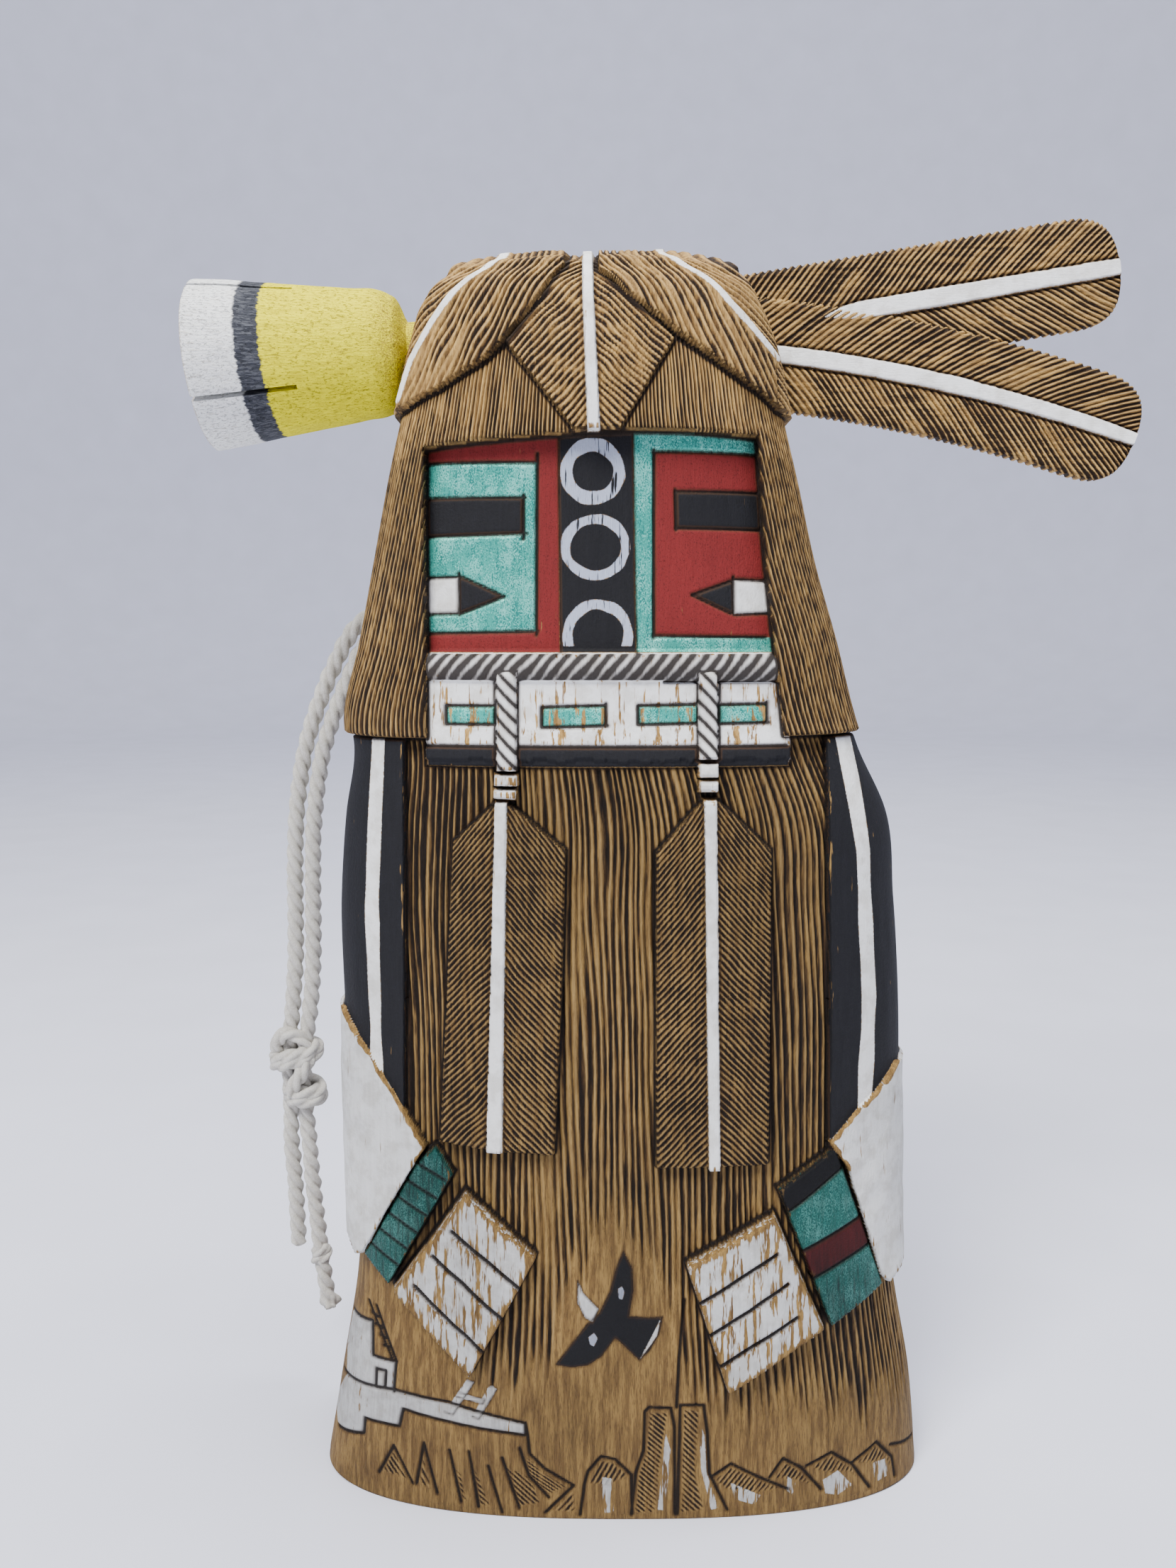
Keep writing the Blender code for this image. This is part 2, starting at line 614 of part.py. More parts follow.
def knot_lump(name, centre, width, depth, length, bulges):
    """A closed lump of a knot's outer shape: bulges gives its width along its length, as shares."""
    x0, z0 = across(centre[0]), up(centre[1])
    rings = []
    for i, share in enumerate(bulges):
        z = z0 + length * (i / (len(bulges) - 1) - 0.5)
        ring = []
        for step in range(14):
            angle = 2 * math.pi * step / 14
            x = x0 + share * width / 2 * math.cos(angle)
            ring.append((x, cord_y() + share * depth / 2 * math.sin(angle), z))
        rings.append(ring)
    made = stack_of_rings(name, rings)
    made.data.materials.append(bpy.data.materials["cotton_cord"])
    return made


def make_cord():
    material("cotton_cord", (0.72, 0.70, 0.64), 0.9)
    knot_top = up(KNOT_CENTRE[1]) + KNOT_LENGTH / 2
    knot_foot = up(KNOT_CENTRE[1]) - KNOT_LENGTH / 2
    middle = on_back(CORD_ROUTE)
    middle[-1].z = knot_top + GAP
    for index, name in enumerate(("cord_strand_outer", "cord_strand_inner")):
        sign = 1 if index == 0 else -1
        hole_x, hole_z = cord_hole(index)
        start = [
            Vector((hole_x, BACK_Y - CORD_HOLE_DEPTH * 0.7, hole_z)),
            Vector((hole_x, BACK_Y + CORD_RADIUS * 0.3, hole_z)),
            Vector((hole_x - CORD_RADIUS, cord_y() - CORD_RADIUS * 0.2, hole_z - STRAND_DROP)),
        ]
        rest = beside(middle, sign * STRAND_SPACING / 2)
        rest[-1].z = knot_top + GAP
        tube(name, start + rest)
    knot_lump("cord_knot", KNOT_CENTRE, KNOT_WIDTH, KNOT_DEPTH, KNOT_LENGTH, KNOT_BULGES)
    for name, points in (("cord_tail_outer", LEFT_TAIL), ("cord_tail_inner", RIGHT_TAIL)):
        route = on_back(points)
        route[0].z = knot_foot - GAP
        if name == "cord_tail_inner":
            route[-1].z = up(END_KNOT_CENTRE[1]) + END_KNOT_LENGTH / 2 + GAP
        tube(name, route)
    width = END_KNOT_WIDTH
    knot_lump("cord_end_knot", END_KNOT_CENTRE, width, width, END_KNOT_LENGTH, END_KNOT_BULGES)
    tip = on_back(CORD_TIP)
    tip[0].z = up(END_KNOT_CENTRE[1]) - END_KNOT_LENGTH / 2 - GAP
    tube("cord_tip", tip)


def make_body():
    body = block("carved_body")
    for name, outline, raised, back_y in carved_layers():
        carve(body, name, outline, raised, back_y)
    cut_blossom_socket(body)
    cut_feather_slot(body)
    cut_cord_holes(body)
    body.data.materials.append(material("carved_wood", (0.45, 0.28, 0.12), 0.75))
    return body


def main():
    clear_scene()
    make_body()
    make_blossom()
    make_feather_pair()
    make_cord()


main()
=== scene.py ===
"""A carved and painted wooden kachina doll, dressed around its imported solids.

The half-round block is one sheet of points whose height above the bare block comes from the carved
layers, the burnt grooves and the knife cuts, and whose paints are kept as depths inside their edges.
The turned squash blossom, the pair of carved feathers and the doubled cotton cord are pieces of
their own. Lengths in the classes are millimetres, and the pieces are made in metres."""

import logging
import math
from dataclasses import dataclass
from enum import Enum

import bmesh
import bpy
import numpy as np
from mathutils import Matrix, Vector


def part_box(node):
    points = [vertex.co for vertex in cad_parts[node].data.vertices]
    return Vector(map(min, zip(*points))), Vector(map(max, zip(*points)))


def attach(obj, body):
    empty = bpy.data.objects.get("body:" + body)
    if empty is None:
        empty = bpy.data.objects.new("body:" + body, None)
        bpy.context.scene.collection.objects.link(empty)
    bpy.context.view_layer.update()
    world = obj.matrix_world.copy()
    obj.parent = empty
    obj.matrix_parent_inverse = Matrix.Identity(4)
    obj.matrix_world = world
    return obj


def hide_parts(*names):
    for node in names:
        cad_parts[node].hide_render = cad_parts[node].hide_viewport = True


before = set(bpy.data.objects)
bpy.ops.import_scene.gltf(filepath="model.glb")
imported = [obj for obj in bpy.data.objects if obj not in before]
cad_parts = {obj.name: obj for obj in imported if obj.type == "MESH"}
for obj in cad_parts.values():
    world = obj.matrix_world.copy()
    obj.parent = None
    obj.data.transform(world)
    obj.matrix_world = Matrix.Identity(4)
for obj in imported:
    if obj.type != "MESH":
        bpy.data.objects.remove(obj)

log = logging.getLogger("kachina")

MM = 0.001
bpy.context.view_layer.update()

Outline = tuple[tuple[float, float], ...]
Colour = tuple[float, float, float, float]


class Paint(Enum):
    """The paints on the carving, each kept on the mesh as its depth inside its own edge."""

    WHITE = "paint_white"
    BLACK = "paint_black"
    TURQUOISE = "paint_turquoise"
    RED = "paint_red"
    RING = "paint_ring"


class Kept(Enum):
    """What else the mesh keeps at each point for its finish."""

    CUT = "cut_distance"
    GROOVE = "groove_turn"
    BURNT = "groove_burnt"
    WEAR = "paint_wear"
    # How much darker each point is: partly the dark tone of burning and handling, partly painted shade.
    SOOT_AND_SHADE = "soot_and_shade"
    # Painted shade: how deep a point lies in a hollow or at the foot of a step.
    HOLLOW_SHADE = "hollow_shade"
    RIDGE = "ridge"


def rgb(red: int, green: int, blue: int) -> Colour:
    """A colour as seen on a screen, from 0 to 255, as the light that it gives back."""
    parts = []
    for level in (red, green, blue):
        share = level / 255
        parts.append(share / 12.92 if share <= 0.04045 else ((share + 0.055) / 1.055) ** 2.4)
    return (parts[0], parts[1], parts[2], 1.0)


# Shaping numbers over a grid of points


def eased(low: float, high: float, at: np.ndarray) -> np.ndarray:
    """Rises smoothly from 0 at low to 1 at high."""
    share = np.clip((at - low) / (high - low), 0.0, 1.0)
    return share * share * (3.0 - 2.0 * share)


def smooth_between(at: np.ndarray, places: np.ndarray, values: np.ndarray) -> np.ndarray:
    """Reads a table with a smooth curve through its values.

    Args:
        at: Where to read it.
        places: The table's places, rising.
        values: The value at each place.

    Returns:
        The value at each point of at.
    """
    slopes = np.gradient(values, places)
    index = np.clip(np.searchsorted(places, at) - 1, 0, len(places) - 2)
    width = places[index + 1] - places[index]
    t = np.clip((at - places[index]) / width, 0.0, 1.0)
    rise = values[index + 1] - values[index]
    start, end = slopes[index] * width, slopes[index + 1] * width
    return (values[index] + start * t + (3 * rise - 2 * start - end) * t ** 2
            + (start + end - 2 * rise) * t ** 3)


def waver(x: np.ndarray, z: np.ndarray, seed: int) -> np.ndarray:
    """Smooth noise from -1 to 1 with one bump for each unit of x and z.

    Args:
        x: First coordinate of each point.
        z: Second coordinate.
        seed: Which noise.

    Returns:
        The noise at each point.
    """
    lattice = np.random.default_rng(seed).uniform(-1.0, 1.0, (97, 89))
    x0, z0 = np.floor(x).astype(int), np.floor(z).astype(int)
    tx, tz = x - x0, z - z0
    tx, tz = tx * tx * (3 - 2 * tx), tz * tz * (3 - 2 * tz)
    corners = [lattice[(x0 + i) % 97, (z0 + j) % 89] for i in (0, 1) for j in (0, 1)]
    lower = corners[0] * (1 - tz) + corners[1] * tz
    upper = corners[2] * (1 - tz) + corners[3] * tz
    return lower * (1 - tx) + upper * tx


def reach_to(px: np.ndarray, pz: np.ndarray, start: tuple, end: tuple) -> np.ndarray:
    """How far points are from one straight edge.

    Args:
        px: Across, in millimetres.
        pz: Up, in millimetres.
        start: Where the edge starts.
        end: Where it ends.

    Returns:
        The distance of each point.
    """
    (ax, az), (bx, bz) = start, end
    ex, ez = bx - ax, bz - az
    t = np.clip(((px - ax) * ex + (pz - az) * ez) / (ex * ex + ez * ez + 1e-12), 0.0, 1.0)
    return np.hypot(px - ax - t * ex, pz - az - t * ez)


def depth_inside(x: np.ndarray, z: np.ndarray, outline: Outline, reach: float = 3.0) -> np.ndarray:
    """How far points lie inside an outline, negative outside it and -reach far from it.

    Args:
        x: Across, in millimetres.
        z: Up, in millimetres.
        outline: The corners of the outline.
        reach: How far outside the outline the distance is worked out.

    Returns:
        The depth of each point.
    """
    corners = np.array(outline, float)
    low, high = corners.min(0) - reach, corners.max(0) + reach
    near = (x > low[0]) & (x < high[0]) & (z > low[1]) & (z < high[1])
    px, pz = x[near], z[near]
    best = np.full(px.shape, 99.0)
    inside = np.zeros(px.shape, bool)
    for (ax, az), (bx, bz) in zip(corners, np.roll(corners, -1, axis=0)):
        best = np.minimum(best, reach_to(px, pz, (ax, az), (bx, bz)))
        rise = bz - az
        inside ^= ((az > pz) != (bz > pz)) & (px < ax + (pz - az) * (bx - ax) / (rise if rise else 1e-9))
    found = np.full(x.shape, -reach)
    found[near] = np.maximum(np.where(inside, best, -best), -reach)
    return found


def distance_from(x: np.ndarray, z: np.ndarray, line: Outline, reach: float = 2.0) -> np.ndarray:
    """How far points are from a line, and reach where they are further.

    Args:
        x: Across, in millimetres.
        z: Up, in millimetres.
        line: The points of the line.
        reach: How far from the line the distance is worked out.

    Returns:
        The distance of each point.
    """
    found = np.full(x.shape, reach)
    for (ax, az), (bx, bz) in zip(line, line[1:]):
        near = ((x > min(ax, bx) - reach) & (x < max(ax, bx) + reach)
                & (z > min(az, bz) - reach) & (z < max(az, bz) + reach))
        found[near] = np.minimum(found[near], reach_to(x[near], z[near], (ax, az), (bx, bz)))
    return found


def trimmed(line: Outline, ends: float) -> Outline:
    """A line with its two ends drawn in by a length."""
    start, after = np.array(line[0]), np.array(line[1])
    before, last = np.array(line[-2]), np.array(line[-1])
    first = start + (after - start) / np.linalg.norm(after - start) * ends
    final = last + (before - last) / np.linalg.norm(before - last) * ends
    return (tuple(first), *line[1:-1], tuple(final))


def slanted_box(left: float, right: float, low: float, high: float, lean: float = 0.0) -> Outline:
    """A rectangle's corners, with its right side raised by lean."""
    return ((left, low), (right, low + lean), (right, high + lean), (left, high))


# Meshes and pieces


def piece_from(name: str, points: np.ndarray, faces: list, kept: dict[str, np.ndarray],
               normals: np.ndarray | None = None) -> bpy.types.Object:
    """Makes a smooth-shaded piece that keeps numbers at its points.

    Args:
        name: The piece's name.
        points: Its points, in millimetres.
        faces: Its faces, as lists of point numbers.
        kept: The numbers to keep, by name.
        normals: The shading direction at each point, if it isn't left to the faces.

    Returns:
        The piece, linked to the scene.
    """
    mesh = bpy.data.meshes.new(name)
    mesh.from_pydata((points * MM).tolist(), [], faces)
    for key, values in kept.items():
        attribute = mesh.attributes.new(key, "FLOAT", "POINT")
        attribute.data.foreach_set("value", np.ascontiguousarray(values, np.float32))
    mesh.shade_smooth()
    if normals is not None:
        mesh.normals_split_custom_set_from_vertices(normals.tolist())
    made = bpy.data.objects.new(name, mesh)
    bpy.context.scene.collection.objects.link(made)
    return made


def settle(piece: bpy.types.Object, slot: str, *nodes: str) -> bpy.types.Object:
    """Puts a piece on the doll in place of its solids and reports it.

    Args:
        piece: The piece.
        slot: A material slot's name; not used.
        nodes: The solids that it stands for.

    Returns:
        The same piece.
    """
    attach(piece, "root")
    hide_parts(*nodes)
    log.info("%s: %d faces", piece.name, len(piece.data.polygons))
    return piece


def strip_faces(rows: int, columns: int) -> np.ndarray:
    """The faces of a tube of rows of points, each row closed on itself, facing out."""
    row, column = np.meshgrid(np.arange(rows - 1), np.arange(columns), indexing="ij")
    after = (column + 1) % columns
    start, above = row * columns, (row + 1) * columns
    faces = np.stack([start + column, start + after, above + after, above + column], axis=-1)
    return faces.reshape(-1, 4)


def fan_faces(first: int, columns: int, middle: int, upwards: bool) -> list:
    """Triangles from a row of points to one middle point.

    Args:
        first: The number of the row's first point.
        columns: How many points the row has.
        middle: The middle point's number.
        upwards: Whether the fan closes the tube's top rather than its foot.

    Returns:
        The triangles.
    """
    made = []
    for column in range(columns):
        here, after = first + column, first + (column + 1) % columns
        made.append([here, after, middle] if upwards else [after, here, middle])
    return made


def closed_faces(rows: int, columns: int) -> list:
    """A tube's faces with a fan at each end, round two middle points that follow its own."""
    faces = strip_faces(rows, columns).tolist()
    faces += fan_faces(0, columns, rows * columns, False)
    return faces + fan_faces((rows - 1) * columns, columns, rows * columns + 1, True)


def tube_normals(points: np.ndarray) -> np.ndarray:
    """The outward direction at each point of rows of points that close on themselves."""
    around = np.roll(points, -1, axis=1) - np.roll(points, 1, axis=1)
    along = np.gradient(points, axis=0)
    out = np.cross(around, along)
    return out / np.maximum(np.linalg.norm(out, axis=-1, keepdims=True), 1e-9)


# Materials


class Field:
    """A number that changes over a surface, which arithmetic turns into Math nodes."""

    def __init__(self, bench: "Bench", socket: bpy.types.NodeSocket) -> None:
        """Wraps one output socket of a material that a bench is making."""
        self.bench = bench
        self.socket = socket

    def __add__(self, other: "Field | float") -> "Field":
        """Their sum."""
        return self.bench.maths("ADD", self, other)

    __radd__ = __add__

    def __sub__(self, other: "Field | float") -> "Field":
        """This less the other."""
        return self.bench.maths("SUBTRACT", self, other)

    def __rsub__(self, other: float) -> "Field":
        """The other less this."""
        return self.bench.maths("SUBTRACT", other, self)

    def __mul__(self, other: "Field | float") -> "Field":
        """Their product."""
        return self.bench.maths("MULTIPLY", self, other)

    __rmul__ = __mul__

    def __truediv__(self, other: float) -> "Field":
        """This divided by the other."""
        return self.bench.maths("DIVIDE", self, other)

    def __abs__(self) -> "Field":
        """Its size without its sign."""
        return self.bench.maths("ABSOLUTE", self)

    def fraction(self) -> "Field":
        """What is left of it past the whole number below."""
        return self.bench.maths("FRACT", self)

    def at_most(self, other: "Field | float") -> "Field":
        """The smaller of the two."""
        return self.bench.maths("MINIMUM", self, other)

    def eased(self, low: "Field | float", high: "Field | float") -> "Field":
        """Rises smoothly from 0 at low to 1 at high, or falls where low is the larger."""
        node = self.bench.node(
            "ShaderNodeMapRange", {"interpolation_type": "SMOOTHSTEP"},
            {"Value": self, "From Min": low, "From Max": high, "To Min": 0.0, "To Max": 1.0},
        )
        return Field(self.bench, node.outputs["Result"])


class Bench:
    """Makes one material: adds its nodes and joins them."""

    def __init__(self, name: str) -> None:
        """Starts a material with nothing but its output."""
        self.material = bpy.data.materials.new(name)
        self.material.use_nodes = True
        self.tree = self.material.node_tree
        self.tree.nodes.clear()
        self.output = self.tree.nodes.new("ShaderNodeOutputMaterial")

    def node(self, kind: str, settings: dict | None = None,
             sockets: dict | None = None) -> bpy.types.Node:
        """Adds any node.

        Args:
            kind: The node's type.
            settings: Its own settings, set first.
            sockets: Values or links for its inputs, by name or identifier.

        Returns:
            The node.
        """
        made = self.tree.nodes.new(kind)
        for key, value in (settings or {}).items():
            setattr(made, key, value)
        for key, value in (sockets or {}).items():
            named = [entry for entry in made.inputs if entry.identifier == key]
            self.feed(named[0] if named else made.inputs[key], value)
        return made

    def feed(self, socket: bpy.types.NodeSocket, value: object) -> None:
        """Links a field or socket to an input, or sets the input's own value."""
        if isinstance(value, Field):
            self.tree.links.new(value.socket, socket)
        elif isinstance(value, bpy.types.NodeSocket):
            self.tree.links.new(value, socket)
        else:
            socket.default_value = value

    def maths(self, operation: str, *values: "Field | float") -> Field:
        """One Math node on one or two values."""
        made = self.node("ShaderNodeMath", {"operation": operation})
        for socket, value in zip(made.inputs, values):
            self.feed(socket, value)
        return Field(self, made.outputs[0])

    def kept(self, name: str) -> Field:
        """The number that the mesh keeps under a name."""
        made = self.node("ShaderNodeAttribute", {"attribute_name": name})
        return Field(self, made.outputs["Fac"])

    def place(self, stretch: tuple[float, float, float]) -> bpy.types.NodeSocket:
        """The point on the surface in millimetres, each axis times its own stretch."""
        own = self.node("ShaderNodeTexCoord")
        scale = tuple(share / MM for share in stretch)
        made = self.node("ShaderNodeVectorMath", {"operation": "MULTIPLY"},
                         {"Vector": own.outputs["Object"], "Vector_001": scale})
        return made.outputs["Vector"]

    def noise(self, stretch: tuple[float, float, float], detail: float = 2.0,
              roughness: float = 0.5) -> Field:
        """Noise with about one bump for each millimetre times stretch.

        Args:
            stretch: Bumps for each millimetre along each axis.
            detail: How many finer layers it has.
            roughness: How strong the finer layers are.

        Returns:
            The noise, around 0.5.
        """
        made = self.node("ShaderNodeTexNoise", {"noise_dimensions": "3D"},
                         {"Vector": self.place(stretch), "Scale": 1.0, "Detail": detail,
                          "Roughness": roughness})
        return Field(self, made.outputs["Fac"])

    def mix(self, share: "Field | float", under: object, over: object) -> bpy.types.NodeSocket:
        """One colour laid over another by a share."""
        made = self.node("ShaderNodeMix", {"data_type": "RGBA", "clamp_factor": True},
                         {"Factor_Float": share, "A_Color": under, "B_Color": over})
        return made.outputs[2]

    def shaded(self, colour: object, level: Field) -> bpy.types.NodeSocket:
        """A colour made lighter or darker by a level around 1."""
        start = colour[:3] if isinstance(colour, tuple) else colour
        made = self.node("ShaderNodeVectorMath", {"operation": "SCALE"},
                         {"Vector": start, "Scale": level})
        return made.outputs["Vector"]

    def finish(self, colour: object, roughness: object, height: Field | None = None,
               lift: float = 0.1, metallic: object = 0.0, **constants: object) -> bpy.types.Material:
        """Joins colour, roughness and relief to the surface.

        Args:
            colour: The base colour.
            roughness: The roughness.
            height: Fine relief from 0 to 1, if it has any.
            lift: How high that relief is, in millimetres.
            metallic: The metallic share.
            constants: Further settings of the surface, by their socket's name.

        Returns:
            The material.
        """
        sockets = {"Base Color": colour, "Roughness": roughness, "Metallic": metallic}
        sockets.update({key.replace("_", " "): value for key, value in constants.items()})
        if height is not None:
            bump = self.node("ShaderNodeBump", {},
                             {"Height": height, "Distance": lift * MM, "Strength": 1.0})
            sockets["Normal"] = bump.outputs["Normal"]
        surface = self.node("ShaderNodeBsdfPrincipled", {}, sockets)
        self.tree.links.new(surface.outputs["BSDF"], self.output.inputs["Surface"])
        return self.material


@dataclass(frozen=True)
class CarvedWoodFinish:
    """Bare carved wood with burnt grooves, and the worn paints that lie on it, darkened in its hollows as
    painted shade.
    """

    name: str
    grain: tuple[float, float, float] = (1.0, 1.0, 0.09)
    line_from: float = 0.24
    core_from: float = 0.50
    crest: Colour = rgb(222, 184, 118)
    pale: Colour = rgb(190, 152, 88)
    tan: Colour = rgb(138, 106, 60)
    scorched: Colour = rgb(78, 52, 26)
    # Also the colour of the painted shade in hollows.
    burnt: Colour = rgb(28, 18, 11)
    charred: Colour = rgb(24, 15, 10)
    white: Colour = rgb(243, 243, 239)
    white_dusty: Colour = rgb(222, 220, 213)
    black: Colour = rgb(24, 24, 27)
    turquoise: Colour = rgb(70, 178, 160)
    turquoise_pearl: Colour = rgb(128, 220, 202)
    turquoise_deep: Colour = rgb(38, 132, 122)
    red: Colour = rgb(116, 34, 33)
    ring: Colour = rgb(188, 196, 214)

    def stretched(self, times: float) -> tuple[float, float, float]:
        """The grain's bumps for each millimetre, times a number."""
        return (self.grain[0] * times, self.grain[1] * times, self.grain[2] * times)

    def wood(self, bench: Bench) -> tuple[bpy.types.NodeSocket, Field]:
        """The bare wood's colour and its pores.

        Args:
            bench: The material's bench.

        Returns:
            The colour, and the pores from 0 to 1.
        """
        streaks = bench.noise(self.stretched(1.1), 3.0, 0.6)
        pores = bench.noise(self.stretched(5.5), 2.0, 0.6)
        patches = bench.noise((0.05, 0.05, 0.04), 2.0)
        colour = bench.mix(streaks.eased(0.36, 0.66), self.tan, self.pale)
        colour = bench.mix(pores.eased(0.5, 0.36) * 0.45, colour, self.scorched)
        return bench.shaded(colour, 0.84 + patches * 0.32), pores

    def make(self) -> bpy.types.Material:
        """Makes the material."""
        bench = Bench(self.name)
        colour, pores = self.wood(bench)
        fine = bench.noise((2.2, 2.2, 2.2), 2.0, 0.6)
        streaks = bench.noise(self.stretched(1.7), 3.0, 0.55)
        worn_grain = bench.noise(self.stretched(1.15), 3.5, 0.65)

        turn = bench.kept(Kept.GROOVE.value)
        burnt = bench.kept(Kept.BURNT.value)
        beside = abs(turn.fraction() - 0.5) * 2.0
        wide = beside + (burnt - 1.0) * 0.45
        line = (wide + (streaks - 0.5) * 1.3).eased(self.line_from, 0.78) * burnt.at_most(1.0)
        core = (wide + (streaks - 0.5) * 1.5).eased(self.core_from, 0.98) * burnt.at_most(1.0)
        worn_crest = (0.5 - beside + (streaks - 0.5) * 1.4).eased(0.0, 0.5) * burnt.at_most(1.0)
        colour = bench.mix(worn_crest * 0.45, colour, self.crest)
        colour = bench.mix(line * 0.85, colour, self.scorched)
        colour = bench.mix(core * 0.94, colour, self.burnt)

        hollow_shade = bench.kept(Kept.HOLLOW_SHADE.value)
        ridge = bench.kept(Kept.RIDGE.value)
        # Painted shade: hollows and the feet of steps darkened with the burnt colour.
        colour = bench.mix((hollow_shade + (fine - 0.5) * 0.3).eased(0.25, 1.0) * 0.8, colour, self.burnt)

        wobble = (fine - 0.5) * 0.35
        wear = bench.kept(Kept.WEAR.value)
        limit = 0.80 - wear * 0.36 - ridge * 0.16
        bare = worn_grain.eased(limit - 0.03, limit + 0.03)
        depths = {paint: bench.kept(paint.value) for paint in Paint}
        laid = {paint: (depth + wobble).eased(-0.10, 0.10) for paint, depth in depths.items()}
        whole = 1.0 - bare
        speckle = bench.noise((4.6, 4.6, 3.0), 2.0, 0.7)
        cloudy = bench.noise((0.25, 0.25, 0.2), 2.0)
        pearl = bench.mix((speckle + streaks * 0.6).eased(0.66, 0.80), self.turquoise_deep, self.turquoise)
        pearl = bench.mix((speckle + cloudy * 0.7).eased(0.86, 0.98), pearl, self.turquoise_pearl)
        rub = bench.noise((0.3, 0.3, 0.3), 3.0, 0.6)
        whites = bench.mix(rub.eased(0.35, 0.6), self.white_dusty, self.white)
        pitted = speckle.eased(0.34, 0.46) * 0.45 + 0.6
        reds = bench.shaded(self.red, (0.80 + streaks * 0.55) * pitted)
        blacks = bench.shaded(self.black, 0.62 + streaks * 0.8)
        rings = bench.mix(streaks.eased(0.42, 0.34), self.ring, self.black)
        for paint, coat in ((Paint.BLACK, blacks), (Paint.RED, reds), (Paint.TURQUOISE, pearl),
                            (Paint.WHITE, whites), (Paint.RING, rings)):
            colour = bench.mix(laid[paint] * whole, colour, coat)

        cut = bench.kept(Kept.CUT.value) + (streaks - 0.5) * 0.22
        cut_core = cut.eased(0.44, 0.18)
        colour = bench.mix(cut.eased(0.72, 0.35) * 0.5, colour, self.scorched)
        colour = bench.mix(cut_core * 0.94, colour, self.charred)
        # More painted shade in the deepest hollows.
        colour = bench.mix((hollow_shade + (fine - 0.5) * 0.2).eased(0.55, 1.1) * 0.6, colour, self.burnt)
        # Darkens by the kept share: partly the dark tone of burning, handling and dust, partly painted
        # shade, heaviest at the foot of the robe.
        soot_and_shade = bench.kept(Kept.SOOT_AND_SHADE.value)
        colour = bench.shaded(colour, 1.0 - soot_and_shade * (0.75 + streaks * 0.5))

        shine = laid[Paint.TURQUOISE] * whole
        roughness = 0.74 - shine * 0.36 + (fine - 0.5) * 0.15
        covered = (laid[Paint.WHITE] + laid[Paint.BLACK] + laid[Paint.RED]
                   + laid[Paint.TURQUOISE]).at_most(1.0) * whole
        height = (0.5 + (pores - 0.5) * (1.0 - covered * 0.5) + (fine - 0.5) * 0.5
                  - line * 0.35 + covered * 0.12 - cut_core * 0.3)
        return bench.finish(colour, roughness, height, 0.20, shine * 0.35, Specular_IOR_Level=0.22)


@dataclass(frozen=True)
class FloorFinish:
    """A plain pale floor."""

    name: str = "pale_floor"
    tone: Colour = rgb(222, 224, 236)

    def make(self) -> bpy.types.Material:
        """Makes the material."""
        bench = Bench(self.name)
        cloth = bench.noise((0.02, 0.02, 0.02), 2.0)
        colour = bench.shaded(self.tone, 0.94 + cloth * 0.12)
        return bench.finish(colour, 0.85)


